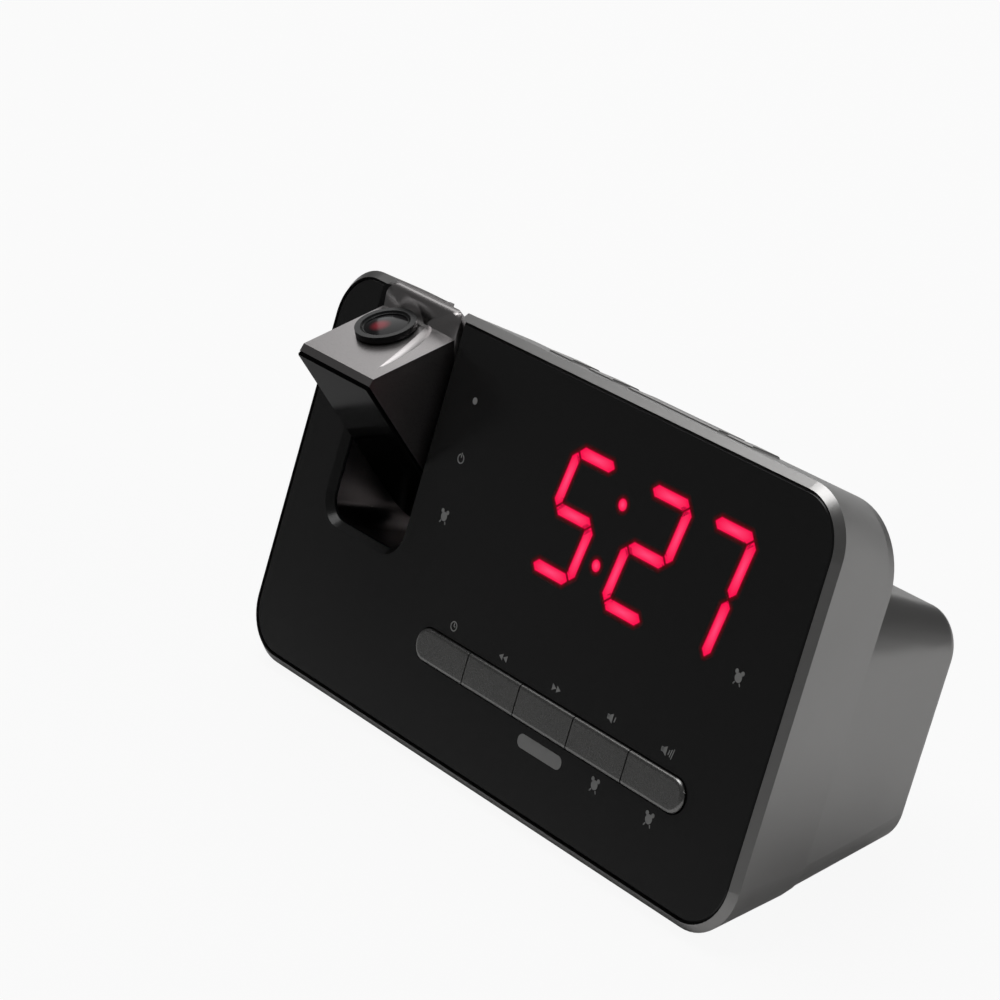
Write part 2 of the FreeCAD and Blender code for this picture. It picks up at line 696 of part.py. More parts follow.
def make_rear_cover():
    """Silver rear housing: flange, deep rear pod, hump behind the projector and screw tunnels."""
    body = new_body("rear_cover")
    start = front_sketch(body, "flange_front", PARTING)
    side = side_line(PARTING)
    rounded_outline(
        start, f"-{side}", side, base_line(PARTING), roof_line(PARTING), "back_base_corner", "back_corner"
    )
    end = front_sketch(body, "flange_back", "shell_depth")
    half = "back_width / 2"
    rounded_outline(
        end, f"-{half}", half, base_line("shell_depth"), "back_top", "back_base_corner", "back_corner"
    )
    loft(body, "flange_plate", "Additive", start, end)
    pod_front = front_sketch(body, "pod_front", "shell_depth")
    rounded_outline(
        pod_front, f"-{POD_SIDE}", POD_SIDE, base_line("shell_depth"), "pod_top", "back_base_corner", "pod_corner"
    )
    pod_rear = front_sketch(body, "pod_rear", POD_REAR)
    rounded_outline(
        pod_rear,
        f"-{POD_REAR_SIDE}",
        POD_REAR_SIDE,
        base_line(POD_REAR),
        POD_REAR_TOP,
        "pod_rear_corner",
        "pod_rear_corner",
    )
    loft(body, "rear_pod", "Additive", pod_front, pod_rear)
    rear = value_of(POD_REAR)
    soften(body, "rear_edge", "Fillet", "pod_rear_edge", lambda p: near(p.y, rear))
    hump = front_sketch(body, "hump_outline", f"{PARTING} + 1")
    hump_side = f"({BAY_SIDE} + bay_wall + fit_gap + wall)"
    rounded_outline(
        hump,
        f"head_centre - {hump_side}",
        f"head_centre + {hump_side}",
        "pivot_height",
        "bay_rear_top",
        "2",
        "3",
    )
    pad_back(body, "projector_hump", hump, f"bay_back + bay_wall + fit_gap + wall - {PARTING} - 1")

    inner_front = front_sketch(body, "pod_cavity_front", f"{PARTING} - 0.5")
    inner_side = f"({POD_SIDE} - wall)"
    rounded_outline(
        inner_front,
        f"-{inner_side}",
        inner_side,
        f"{base_line(PARTING)} + wall + door_thickness",
        "pod_top - wall",
        "back_base_corner - wall",
        "pod_corner - wall",
    )
    inner_rear = front_sketch(body, "pod_cavity_rear", f"{POD_REAR} - wall")
    inner_rear_side = f"({POD_REAR_SIDE} - wall)"
    rounded_outline(
        inner_rear,
        f"-{inner_rear_side}",
        inner_rear_side,
        f"{base_line(POD_REAR + ' - wall')} + wall + door_thickness",
        f"{POD_REAR_TOP} - wall",
        "pod_rear_corner - wall",
        "pod_rear_corner - wall",
    )
    loft(body, "pod_cavity", "Subtractive", inner_front, inner_rear)
    bay = front_sketch(body, "bay_pocket_outline", f"{PARTING} - 1")
    left = f"head_centre - {BAY_SIDE} - bay_wall - fit_gap"
    right = f"head_centre + {BAY_SIDE} + bay_wall + fit_gap"
    low = f"{BAY_FLOOR} - bay_wall - fit_gap"
    polygon(bay, ((left, low), (right, low), (right, "panel_height"), (left, "panel_height")))
    document.recompute()
    cut(body, "bay_pocket", bay, f"bay_back + bay_wall + fit_gap - {PARTING} + 1")

    low_screws = [screw for screw in SCREWS if screw[1] == "boss_low"]
    tunnels = front_sketch(body, "tunnel_circles", PARTING)
    circles(tunnels, low_screws, "screw_head_radius + wall")
    pad_back(body, "screw_tunnels", tunnels, f"{POD_REAR} - {PARTING} - pod_rear_edge")
    wells = front_sketch(body, "well_circles", "shell_depth")
    circles(wells, low_screws, "screw_head_radius + fit_gap")
    document.recompute()
    cut(body, "driver_wells", wells, "pod_depth + 5")
    holes = front_sketch(body, "screw_holes", f"{PARTING} - 1")
    circles(holes, SCREWS, "screw_radius + fit_gap")
    cut(body, "screw_holes_cut", holes, "flange + 2")

    grille = front_sketch(body, "grille_slots", f"{POD_REAR} - wall - 1")
    for i in range(-3, 4):
        half_slot = "grille_slot / 2"
        middle = f"(speaker_height + {i} * grille_pitch)"
        reach = math.sqrt(1 - (i / 4.6) ** 2)
        span = f"({reach:.3f} * (speaker_radius - 4))"
        rounded_outline(
            grille,
            f"speaker_side - {span}",
            f"speaker_side + {span}",
            f"{middle} - {half_slot}",
            f"{middle} + {half_slot}",
            f"{half_slot} - 0.02",
            f"{half_slot} - 0.02",
        )
    cut(body, "grille_cut", grille, "wall + 3")
    recess = side_sketch(body, "door_recess", f"{DOOR_LEFT} / 2 + {DOOR_RIGHT} / 2")
    base_rectangle(recess, f"{DOOR_NEAR} - fit_gap", f"{DOOR_FAR} + fit_gap", "-3", "door_thickness + fit_gap")
    cut(body, "door_recess_cut", recess, f"{DOOR_RIGHT} - {DOOR_LEFT} + 2 * fit_gap", across=True)
    mouth = side_sketch(body, "tray_mouth", "battery_side")
    base_rectangle(mouth, "tray_along - fit_gap", f"tray_along + {TRAY_WIDTH} + fit_gap", "0", TRAY_HEIGHT)
    cut(body, "tray_mouth_cut", mouth, f"{TRAY_LENGTH} + 2 * fit_gap", across=True)
    door_screw = body.newObject("Sketcher::SketchObject", "door_screw_hole")
    door_screw.AttachmentSupport = [(origin_plane(body, "XY_Plane"), "")]
    door_screw.MapMode = "FlatFace"
    door_screw.AttachmentOffset = base_place(
        value_of(f"{DOOR_LEFT} + door_tab / 2"), value_of(DOOR_MIDDLE), value_of("2 * wall + door_thickness")
    )
    circles(door_screw, (("0", "0"),), "board_screw_radius")
    cut(body, "door_screw_hole_cut", door_screw, "2 * wall + door_thickness")
    jack = front_sketch(body, "jack_hole", f"{POD_REAR} - wall - 1")
    circles(jack, (("jack_side", "jack_height"),), "jack_bore + 0.6")
    cut(body, "jack_hole_cut", jack, "wall + 3")
    keep(body, "rear_cover")


def make_front_keys():
    """Five keys in one bar across the panel, each with a retaining lip behind the panel."""
    for i, label in enumerate(FRONT_KEYS):
        body = new_body(label)
        left = f"(key_left + {i} * key_pitch + {'0' if i == 0 else 'key_slit / 2'})"
        right = f"(key_left + {i + 1} * key_pitch - {'0' if i == 4 else 'key_slit / 2'})"
        low = "(key_middle - key_height / 2)"
        high = "(key_middle + key_height / 2)"
        top = front_sketch(body, "key_top", "panel_setback - key_proud")
        polygon(top, ((left, low), (right, low), (right, high), (left, high)))
        pad_back(body, "key_cap", top, f"{PANEL_BACK} + fit_gap + key_lip - panel_setback + key_proud")
        if i in (0, 4):
            end = value_of(left) if i == 0 else value_of(right)
            soften(
                body, "round_end", "Fillet", "key_height / 2 - 0.03",
                lambda p: near(p.x, end) and (near(p.z, value_of(low)) or near(p.z, value_of(high))),
            )
        front = value_of("panel_setback - key_proud")
        ends = (value_of(low), value_of(high))
        turn = value_of("key_height / 2") + 0.05
        left_turn = value_of(left) + turn if i == 0 else value_of(left) - 1
        right_turn = value_of(right) - turn if i == 4 else value_of(right) + 1

        def on_crown(p):
            along = near(p.z, ends[0]) or near(p.z, ends[1])
            return near(p.y, front) and (along or p.x < left_turn or p.x > right_turn)

        soften(body, "crowned_edges", "Fillet", "key_crown", on_crown)
        lip = front_sketch(body, "key_lip", f"{PANEL_BACK} + fit_gap")
        inset = "3.5"
        polygon(
            lip,
            (
                (f"{left} + {inset}", f"{low} - key_lip"),
                (f"{right} - {inset}", f"{low} - key_lip"),
                (f"{right} - {inset}", f"{high} + key_lip"),
                (f"{left} + {inset}", f"{high} + key_lip"),
            ),
        )
        pad_back(body, "retaining_lip", lip, "key_lip")
        keep(body, label)


def make_top_keys():
    """Keys in the top surface, each following the roof's slope."""
    y_near = "(top_key_middle - top_key_depth / 2)"
    y_far = "(top_key_middle + top_key_depth / 2)"
    for label, centre, width in TOP_KEYS:
        body = new_body(label)
        side = side_sketch(body, "key_side", centre)
        foot = "(back_top - wall - 1)"
        polygon(
            side,
            (
                (y_near, foot),
                (y_far, foot),
                (y_far, f"{roof_line(y_far)} + top_key_proud"),
                (y_near, f"{roof_line(y_near)} + top_key_proud"),
            ),
        )
        pad_across(body, "key_cap", side, width)
        top = value_of(roof_line(y_far))
        soften(body, "key_edges", "Fillet", "key_edge", lambda p: p.z > top)
        keep(body, label)


def head_place():
    """Placement that opens the projector head about its pivot."""
    pivot = V(0, size("pivot_depth"), size("pivot_height"))
    turn = FreeCAD.Rotation(V(1, 0, 0), size("head_open"))
    return FreeCAD.Placement(pivot, turn).multiply(FreeCAD.Placement(-pivot, FreeCAD.Rotation()))


def plate_sketch(body, name, lift):
    """Start a sketch square to the lens axis, at a height above the lens plate."""
    sketch = body.newObject("Sketcher::SketchObject", name)
    sketch.AttachmentSupport = [(origin_plane(body, "XY_Plane"), "")]
    sketch.MapMode = "FlatFace"
    y, z = lens_axis("lens_along", lift)
    sketch.AttachmentOffset = at("0", "0", "0", -size("plate_slope"))
    bind(sketch, "AttachmentOffset.Base.x", "head_centre + lens_offset")
    bind(sketch, "AttachmentOffset.Base.y", y)
    bind(sketch, "AttachmentOffset.Base.z", z)
    return sketch


def make_head_shell():
    """Wedge-shaped projector head with a sloping lens plate and a hump behind it."""
    body = new_body("head_shell")
    outer = side_sketch(body, "head_profile", "head_centre")
    hump_y = f"({PLATE_END_Y} + hump_run)"
    hump_z = f"({PLATE_END_Z} + hump_rise)"
    back_y = f"({hump_y} + hump_depth)"
    polygon(
        outer,
        (
            ("face_thickness", "head_low"),
            ("face_thickness + tail_depth", "head_low"),
            (back_y, f"{hump_z} - hump_back"),
            (back_y, f"{hump_z} - 0.5"),
            (hump_y, hump_z),
            (PLATE_END_Y, PLATE_END_Z),
            (BAND_TOP_Y, BAND_TOP_Z),
            ("face_thickness", "head_top"),
        ),
    )
    pad_across(body, "head_wedge", outer, "head_width")
    left = value_of("head_centre - head_width / 2")
    right = value_of("head_centre + head_width / 2")
    low = size("head_low")
    soften(
        body, "tail_corners", "Fillet", "head_corner",
        lambda p: near(p.z, low) and (near(p.x, left) or near(p.x, right)),
    )
    rear = value_of(back_y)
    soften(
        body, "hump_corners", "Fillet", "hump_corner",
        lambda p: near(p.y, rear) and (near(p.x, left) or near(p.x, right)),
    )
    tops = front_sketch(body, "hump_tops", PLATE_END_Y)
    for side in (-1, 1):
        edge = f"(head_centre + {side} * head_width / 2)"
        arc = []
        for step in range(7):
            angle = math.radians(15 * step)
            x = f"({edge} - {side} * hump_corner * {1 - math.sin(angle):.4f})"
            arc.append((x, f"({hump_z} - hump_corner * {1 - math.cos(angle):.4f})"))
        beyond = f"({edge} + {side})"
        arc += [(beyond, f"({hump_z} - hump_corner)"), (beyond, f"({hump_z} + 1)")]
        arc.append((arc[0][0], f"({hump_z} + 1)"))
        polygon(tops, arc if side == 1 else arc[::-1])
    cut(body, "rounded_hump", tops, "hump_run + hump_depth + 1")
    inner = side_sketch(body, "head_cavity", "head_centre")
    wall = "head_wall"
    polygon(
        inner,
        (
            ("-1", f"head_low + 2 * {wall}"),
            (f"face_thickness + tail_depth - {wall}", f"head_low + 2 * {wall}"),
            (f"{back_y} - {wall}", f"{hump_z} - hump_back"),
            (f"{back_y} - {wall}", f"{PLATE_END_Z} - 1.1 * {wall}"),
            (f"{PLATE_END_Y}", f"{PLATE_END_Z} - 1.1 * {wall}"),
            (f"{BAND_TOP_Y}", f"{BAND_TOP_Z} - 1.1 * {wall}"),
            ("-1", f"{BAND_TOP_Z} - 1.1 * {wall}"),
        ),
    )
    cut(body, "hollow", inner, "head_width - 2 * head_wall", across=True)
    holes = side_sketch(body, "pivot_holes", "head_centre")
    circles(holes, (("pivot_depth", "pivot_height"),), "pivot_radius")
    document.recompute()
    cut(body, "pivot_holes_cut", holes, "2 * head_width", across=True)
    seat = plate_sketch(body, "ring_seat", "8")
    circles(seat, (("0", "0"),), "ring_radius + ring_room")
    cut(body, "ring_seat_cut", seat, "8")
    mouth = plate_sketch(body, "lens_hole", "1")
    circles(mouth, (("0", "0"),), "neck_radius + running_clearance")
    cut(body, "lens_hole_cut", mouth, "1 + 3 * head_wall")
    keep(body, "head_shell", head_place())


def lens_axis(along, lift):
    """Point on the lens axis in the closed head, as formulas: along the plate and above it."""
    y = f"({BAND_TOP_Y} + ({along}) * cos(plate_slope) + ({lift}) * sin(plate_slope))"
    z = f"({BAND_TOP_Z} - ({along}) * sin(plate_slope) + ({lift}) * cos(plate_slope))"
    return y, z


def on_lens_axis(lift):
    """Placement on the lens axis in the closed head, at a height above the plate."""
    y, z = lens_axis("lens_along", lift)
    return at("head_centre + lens_offset", y, z, -size("plate_slope"))


def make_head():
    """Projector head: shell, black face, focus ring, lens and projector parts."""
    opened = head_place()
    make_head_shell()

    face = new_body("head_face")
    outline = front_sketch(face, "face_outline", "0")
    rounded_outline(
        outline,
        "head_centre - head_width / 2",
        "head_centre + head_width / 2",
        "head_low",
        "head_top",
        "head_corner",
        "0.6",
    )
    pad_back(face, "face_sheet", outline, "face_thickness")
    soften(face, "face_edge", "Chamfer", "0.3", lambda p: near(p.y, 0))
    keep(face, "head_face", opened)

    disc = rod("ring_disc", "ring_radius", "ring_height - fit_gap")
    disc.Placement = on_lens_axis("fit_gap")
    neck = rod("ring_neck", "neck_radius", "neck_length + ring_height - 0.5")
    neck.Placement = on_lens_axis("-neck_length")
    outer = join("ring_outer", [disc, neck])
    bore = rod("ring_bore", "lens_radius", "neck_length + ring_height + 2")
    bore.Placement = on_lens_axis("-neck_length - 1")
    mouth = document.addObject("Part::Cone", "ring_mouth")
    bind(mouth, "Radius1", "lens_radius")
    bind(mouth, "Radius2", "ring_radius - 1")
    bind(mouth, "Height", "ring_height")
    mouth.Placement = on_lens_axis("0.4")
    ring = carve("focus_ring", outer, [bore, mouth])
    keep(ring, "focus_ring", opened)

    glass = document.addObject("Part::Feature", "projection_lens")
    radius = size("lens_radius") - 0.05
    thickness = 2.4
    crown = 1.2
    top = V(0, 0, thickness + crown)
    rim_point = V(radius, 0, thickness)
    bow = (radius ** 2 + crown ** 2) / (2 * crown)
    half_angle = math.asin(radius / bow) / 2
    middle = V(bow * math.sin(half_angle), 0, thickness + crown - bow * (1 - math.cos(half_angle)))
    edges = [
        Part.LineSegment(V(0, 0, 0), V(radius, 0, 0)).toShape(),
        Part.LineSegment(V(radius, 0, 0), rim_point).toShape(),
        Part.Arc(rim_point, middle, top).toShape(),
        Part.LineSegment(top, V(0, 0, 0)).toShape(),
    ]
    glass.Shape = Part.Face(Part.Wire(edges)).revolve(V(0, 0, 0), V(0, 0, 1), 360)
    keep(glass, "projection_lens", opened.multiply(on_lens_axis("-3.2")))

    tube = rod("barrel_tube", "neck_radius + 1.4", "7")
    tube_bore = rod("barrel_bore", "neck_radius + running_clearance", "9")
    tube_bore.Placement = FreeCAD.Placement(V(0, 0, -1), FreeCAD.Rotation())
    barrel = carve("lens_barrel", tube, [tube_bore])
    keep(barrel, "lens_barrel", opened.multiply(on_lens_axis("-7 - 1.5 * head_wall")))
    cell = block("slide_display", "12", "12", "1.4")
    centre = FreeCAD.Placement(V(-6, -6, 0), FreeCAD.Rotation())
    keep(cell, "slide_display", opened.multiply(on_lens_axis("-10.9")).multiply(centre))
    lamp_body = rod("lamp_body", "2.4", "3.2")
    lamp_dome = document.addObject("Part::Sphere", "lamp_dome")
    bind(lamp_dome, "Radius", "2.4")
    lamp_dome.Placement = FreeCAD.Placement(V(0, 0, 3.2), FreeCAD.Rotation())
    lamp_top = rod("lamp_top", "2.4", "5.6")
    dome = document.addObject("Part::Common", "lamp_lens")
    dome.Base = lamp_top
    dome.Tool = lamp_dome
    lamp = join("projector_lamp", [lamp_body, dome])
    keep(lamp, "projector_lamp", opened.multiply(on_lens_axis("-18.2")))
    board = block("projector_board", "head_width - 2 * head_wall - 2 * fit_gap", "13", "1.2")
    centre = at("fit_gap + head_wall - head_width / 2 - lens_offset", "-6.5", "0")
    keep(board, "projector_board", opened.multiply(on_lens_axis("-19.4")).multiply(centre))

    pins = []
    for name, side in (("left", "-1"), ("right", "1")):
        pin = rod(f"pivot_pin_{name}", "pivot_radius", "head_wall + bay_gap + bay_wall")
        pin.Placement = FreeCAD.Placement(
            V(
                value_of(f"head_centre + {side} * (head_width / 2 - head_wall)"),
                size("pivot_depth"),
                size("pivot_height"),
            ),
            FreeCAD.Rotation(V(0, 1, 0), 90 * int(side)),
        )
        pins.append(pin)
    keep(group("pivot_pins", pins), "pivot_pins", opened)


def digit_segment(kind, width, height):
    """Hexagonal light pipe of one segment, upright digit with its centre at the origin."""
    t = size("segment_width")
    gap = size("segment_gap")
    half_w = width / 2 - t / 2
    half_h = height / 2 - t / 2
    centres = {
        "top": (0, half_h, True),
        "middle": (0, 0, True),
        "bottom": (0, -half_h, True),
        "upper_left": (-half_w, half_h / 2, False),
        "upper_right": (half_w, half_h / 2, False),
        "lower_left": (-half_w, -half_h / 2, False),
        "lower_right": (half_w, -half_h / 2, False),
    }
    x, z, flat = centres[kind]
    reach = (half_w if flat else half_h / 2) - gap
    shape = [(-reach, 0), (-reach + t / 2, t / 2), (reach - t / 2, t / 2)]
    shape += [(reach, 0), (reach - t / 2, -t / 2), (-reach + t / 2, -t / 2)]
    return [(x + (a if flat else b), z + (b if flat else a)) for a, b in shape]


# Centres of the four digits across the display
DIGIT_CENTRES = (-11.5, 10.4, 36.1, 57.0)
COLON_PLACES = ((25.8, 26.5), (23.3, 11.5))
SEGMENTS = ("top", "middle", "bottom", "upper_left", "upper_right", "lower_left", "lower_right")


def make_display():
    """Seven-segment light-emitting display behind the panel."""
    slant = math.tan(math.radians(size("digit_slant")))
    middle = 19.0
    front = value_of(PANEL_BACK) + 0.3
    depth = size("display_depth")
    lights = []
    for centre in DIGIT_CENTRES:
        for kind in SEGMENTS:
            outline = digit_segment(kind, size("digit_width"), size("digit_height"))
            points = [V(centre + x + z * slant, front, middle + z) for x, z in outline]
            wire = Part.makePolygon(points + points[:1])
            lights.append(Part.Face(wire).extrude(V(0, depth, 0)))
    for x, z in COLON_PLACES:
        lights.append(Part.makeCylinder(1.35, depth, V(x, front, z), V(0, 1, 0)))
    segments = document.addObject("Part::Feature", "display_segments")
    segments.Shape = Part.makeCompound(lights)
    case = Part.makeBox(
        size("display_width"), depth, size("display_height"),
        V(size("display_left"), front, size("display_base")),
    )
    reflector = document.addObject("Part::Feature", "display_reflector")
    reflector.Shape = case.cut(Part.makeCompound(lights))
    keep(segments, "display_segments")
    keep(reflector, "display_reflector")
    board = block("display_board", "display_width + 4", "board_thickness", "display_height + 5")
    where = at("display_left - 4", f"{PANEL_BACK} + 0.3 + display_depth", "display_base - 3")
    keep(board, "display_board", where)


def make_boards():
    """Circuit boards and the switches under the keys."""
    key_back = f"({PANEL_BACK} + fit_gap + key_lip)"
    switch_top = f"({key_back} + key_travel + 0.2)"
    board_front = f"({switch_top} + 3.2)"
    key_board = block("key_board", "5 * key_pitch + 6", "board_thickness", "key_height + 6")
    keep(key_board, "key_board", at("key_left - 3", board_front, "key_middle - key_height / 2 - 3"))
    switches = []
    for i in range(5):
        middle = f"key_left + {i + 0.5} * key_pitch"
        case = put(block(f"switch_case_{i}", "6", "2.4", "6"), at(f"{middle} - 3", f"{board_front} - 2.4", "key_middle - 3"))
        plunger = put(rod(f"switch_plunger_{i}", "1.6", "0.9"), at(middle, f"{switch_top} + 0.9", "key_middle", 90))
        switches.append(join(f"switch_{i}", [case, plunger]))
    keep(group("key_switches", switches), "key_switches")

    top_foot = "(back_top - wall - 1)"
    top_board_z = f"({top_foot} - top_key_travel - 0.3 - 2.6 - board_thickness)"
    board_front = f"({PANEL_BACK} + 0.3 + display_depth + board_thickness + fit_gap)"
    board_depth = f"({PARTING} - {board_front} - 0.5)"
    switch_middle = f"({board_front} + {board_depth} / 2)"
    top_board = block("top_key_board", "80", board_depth, "board_thickness")
    keep(top_board, "top_key_board", at("-24", board_front, top_board_z))
    top_switches = []
    for label, centre, _ in TOP_KEYS:
        case = put(
            block(f"{label}_case", "5", "5", "1.8"),
            at(f"{centre} - 2.5", f"{switch_middle} - 2.5", f"{top_board_z} + board_thickness"),
        )
        plunger = put(
            rod(f"{label}_plunger", "1.4", "0.9"),
            at(centre, switch_middle, f"{top_board_z} + board_thickness + 1.7"),
        )
        top_switches.append(join(f"{label}_switch", [case, plunger]))
    keep(group("top_switches", top_switches), "top_switches")

    sheet_block = put(block("main_board_blank", "104", "board_thickness", "40"), at("-34", BOARD_FRONT, "-20"))
    holes = []
    screws = []
    for i, (x, z) in enumerate(BOARD_POSTS):
        hole = rod(f"board_hole_{i}", "board_screw_radius + 0.2", "3 * board_thickness")
        holes.append(put(hole, at(x, f"{BOARD_FRONT} + 2 * board_thickness", z, 90)))
        rear = f"{BOARD_FRONT} + board_thickness"
        shank = put(rod(f"board_shank_{i}", "board_screw_radius - 0.1", "7"), at(x, rear, z, 90))
        head = put(rod(f"board_screw_head_{i}", "2", "1.4"), at(x, f"{rear} + 1.4", z, 90))
        screws.append(join(f"board_screw_{i}", [shank, head]))
    keep(carve("main_board", sheet_block, holes), "main_board")
    keep(group("board_screws", screws), "board_screws")


def make_batteries():
    """Battery tray in the underside with two small cells, their contacts, and the screwed door."""
    left = f"battery_side - {TRAY_LENGTH} / 2"
    blank = block("tray_blank", TRAY_LENGTH, TRAY_WIDTH, TRAY_HEIGHT)
    hollow = block(
        "tray_hollow", f"{TRAY_LENGTH} - 2 * tray_wall", f"{TRAY_WIDTH} - 2 * tray_wall", TRAY_HEIGHT
    )
    hollow.Placement = at("tray_wall", "tray_wall", "-tray_wall")
    tray = carve("battery_tray", blank, [hollow])
    keep(tray, "battery_tray", base_at(left, "tray_along", TRAY_LOW))

    cells = []
    contacts = []
    for i, turn in enumerate((90, -90)):
        along = f"tray_along + tray_wall + battery_play + battery_radius + {i} * (2 * battery_radius + battery_play)"
        up = f"{TRAY_LOW} + fit_gap + battery_radius"
        start = "-battery_length / 2" if turn == 90 else "battery_length / 2"
        turned = FreeCAD.Placement(V(value_of(start), 0, 0), FreeCAD.Rotation(V(0, 1, 0), turn))
        can = put(rod(f"cell_can_{i}", "battery_radius", "battery_length - 1"), turned)
        button = put(rod(f"cell_button_{i}", "1.9", "battery_length"), turned)
        cell = join(f"cell_{i}", [can, button])
        cell.Placement = base_at("battery_side", along, up)
        cells.append(cell)
        for side in ("-1", "1"):
            plate = block(f"contact_{i}_{side}", "0.4", "8", "8")
            across = f"battery_side + {side} * (battery_length / 2 + 1.1) - 0.2"
            contacts.append(put(plate, base_at(across, f"{along} - 4", f"{up} - 4")))
    keep(group("batteries", cells), "batteries")
    keep(group("battery_contacts", contacts), "battery_contacts")

    blank = block("door_blank", f"{DOOR_RIGHT} - {DOOR_LEFT}", f"{DOOR_FAR} - {DOOR_NEAR}", "door_thickness")
    hole_at = ("door_tab / 2", f"{DOOR_FAR} / 2 - {DOOR_NEAR} / 2")
    hole = put(rod("door_hole", "board_screw_radius + 0.2", "4 * door_thickness"), at(*hole_at, "-door_thickness"))
    sink = put(rod("door_counterbore", "2.3", "1.1"), at(*hole_at, "-0.1"))
    door = carve("battery_door", blank, [hole, sink])
    keep(door, "battery_door", base_at(DOOR_LEFT, DOOR_NEAR, "0"))
    shank = rod("door_shank", "board_screw_radius - 0.1", "4.6")
    head = rod("door_screw_head", "2", "0.9")
    screw = join("door_screw", [shank, head])
    keep(screw, "door_screw", base_at(f"{DOOR_LEFT} + door_tab / 2", DOOR_MIDDLE, "0.1"))


def make_speaker():
    """Loudspeaker on the rear wall, behind the grille."""
    rear = f"({POD_REAR} - wall)"
    centre = ("speaker_side", "speaker_height")

    def turned(points, label):
        """Revolve a profile of radius and depth pairs about the speaker's axis."""
        wire = Part.makePolygon([V(r, 0, d) for r, d in points + points[:1]])
        piece = document.addObject("Part::Feature", label)
        piece.Shape = Part.Face(wire).revolve(V(0, 0, 0), V(0, 0, 1), 360)
        return piece

    outer = size("speaker_radius")
    deep = size("speaker_depth")
    basket = [(outer, 0), (outer, 1.2), (outer - 3, 1.2), (10, deep - 4), (10, deep - 3)]
    basket += [(7, deep - 3), (7, deep - 4.2), (9, deep - 4.2), (outer - 4, 1.0), (outer - 4, 0)]
    cone = [(outer - 4.3, 0.2), (outer - 4.3, 0.8), (6.6, deep - 5.2), (0.5, deep - 5.2), (0.5, deep - 6)]
    cone += [(6.2, deep - 6), (outer - 5.2, 0.2)]
    magnet = [(0.2, deep - 3), (11, deep - 3), (11, deep + 3), (0.2, deep + 3)]
    where = at(centre[0], rear, centre[1], 90)
    keep(turned(basket, "speaker_basket"), "speaker_basket", where)
    keep(turned(cone, "speaker_cone"), "speaker_cone", where)
    keep(turned(magnet, "speaker_magnet"), "speaker_magnet", where)


def make_inlet():
    """Barrel socket for the mains adapter, in the rear wall."""
    body_block = block("jack_case", "jack_width", "jack_length", "jack_width")
    centre = at("jack_side - jack_width / 2", f"{POD_REAR} - wall - jack_length", "jack_height - jack_width / 2")
    put(body_block, centre)
    bore = put(rod("jack_bore_tool", "jack_bore", "jack_length"), at("jack_side", f"{POD_REAR}", "jack_height", 90))
    shell = carve("jack_shell", body_block, [bore])
    pin = put(
        rod("jack_pin_rod", "jack_pin", "jack_length - 2"),
        at("jack_side", f"{POD_REAR} - wall - 1", "jack_height", 90),
    )
    jack = join("dc_inlet", [shell, pin])
    keep(jack, "dc_inlet")


def make_screws():
    """Case screws through the rear cover into the front shell's bosses."""
    screws = []
    for i, (x, z) in enumerate(SCREWS):
        shank = put(rod(f"shank_{i}", "screw_radius - 0.1", "flange + 9"), at(x, "shell_depth", z, 90))
        head = put(rod(f"screw_head_{i}", "screw_head_radius - 0.2", "1.8"), at(x, "shell_depth + 1.8", z, 90))
        screws.append(join(f"screw_{i}", [shank, head]))
    keep(group("case_screws", screws), "case_screws")


def base_place(x, along, up):
    """Placement standing level on the underside: across, back along it and above it."""
    lean = math.radians(size("lean_angle"))
    edge_y = size("rim_width")
    edge_z = -(value_of("panel_height / 2 + rim_width"))
    y = edge_y + along * math.cos(lean) - up * math.sin(lean)
    z = edge_z + along * math.sin(lean) + up * math.cos(lean)
    return FreeCAD.Placement(V(x, y, z), FreeCAD.Rotation(V(1, 0, 0), size("lean_angle")))


def base_at(x, along, up):
    """Placement standing level on the underside, from three formulas."""
    return base_place(value_of(x), value_of(along), value_of(up))


def base_rectangle(sketch, near_end, far_end, low, high):
    """Draw a rectangle square to the underside in a side sketch."""
    corners = []
    for along, up in ((near_end, low), (far_end, low), (far_end, high), (near_end, high)):
        y = f"(rim_width + ({along}) * cos(lean_angle) - ({up}) * sin(lean_angle))"
        z = f"(-(panel_height / 2 + rim_width) + ({along}) * sin(lean_angle) + ({up}) * cos(lean_angle))"
        corners.append((y, z))
    polygon(sketch, corners)


def make_feet():
    """Four rubber feet under the housing, in shallow seats."""
    feet = []
    side = size("foot_side")
    for i, (x, along) in enumerate(((-side, 9.0), (side, 9.0), (-side, 42.0), (side, 42.0))):
        foot = rod(f"foot_{i}", "foot_radius", "foot_height")
        foot.Placement = base_place(x, along, -size("foot_height"))
        feet.append(foot)
    keep(group("rubber_feet", feet), "rubber_feet")


def lean_back(shift):
    """Placement that leans the clock back and stands it on its feet."""
    lean = size("lean_angle")
    turn = FreeCAD.Rotation(V(1, 0, 0), -lean)
    edge = V(0, size("rim_width"), -value_of("panel_height / 2 + rim_width"))
    lift = size("foot_height") - turn.multVec(edge).z
    return FreeCAD.Placement(V(0, shift, lift), turn)


def place_all():
    """Lean every piece back and centre the clock front to back over the origin."""
    for thing, _, local in nodes:
        thing.Placement = lean_back(0.0).multiply(local)
    document.recompute()
    boxes = [thing.Shape.BoundBox for thing, _, _ in nodes]
    front = min(box.YMin for box in boxes)
    rear = max(box.YMax for box in boxes)
    shift = -(front + rear) / 2
    for thing, _, local in nodes:
        thing.Placement = lean_back(shift).multiply(local)
    document.recompute()
    print(f"centre shift {shift:.4f}")


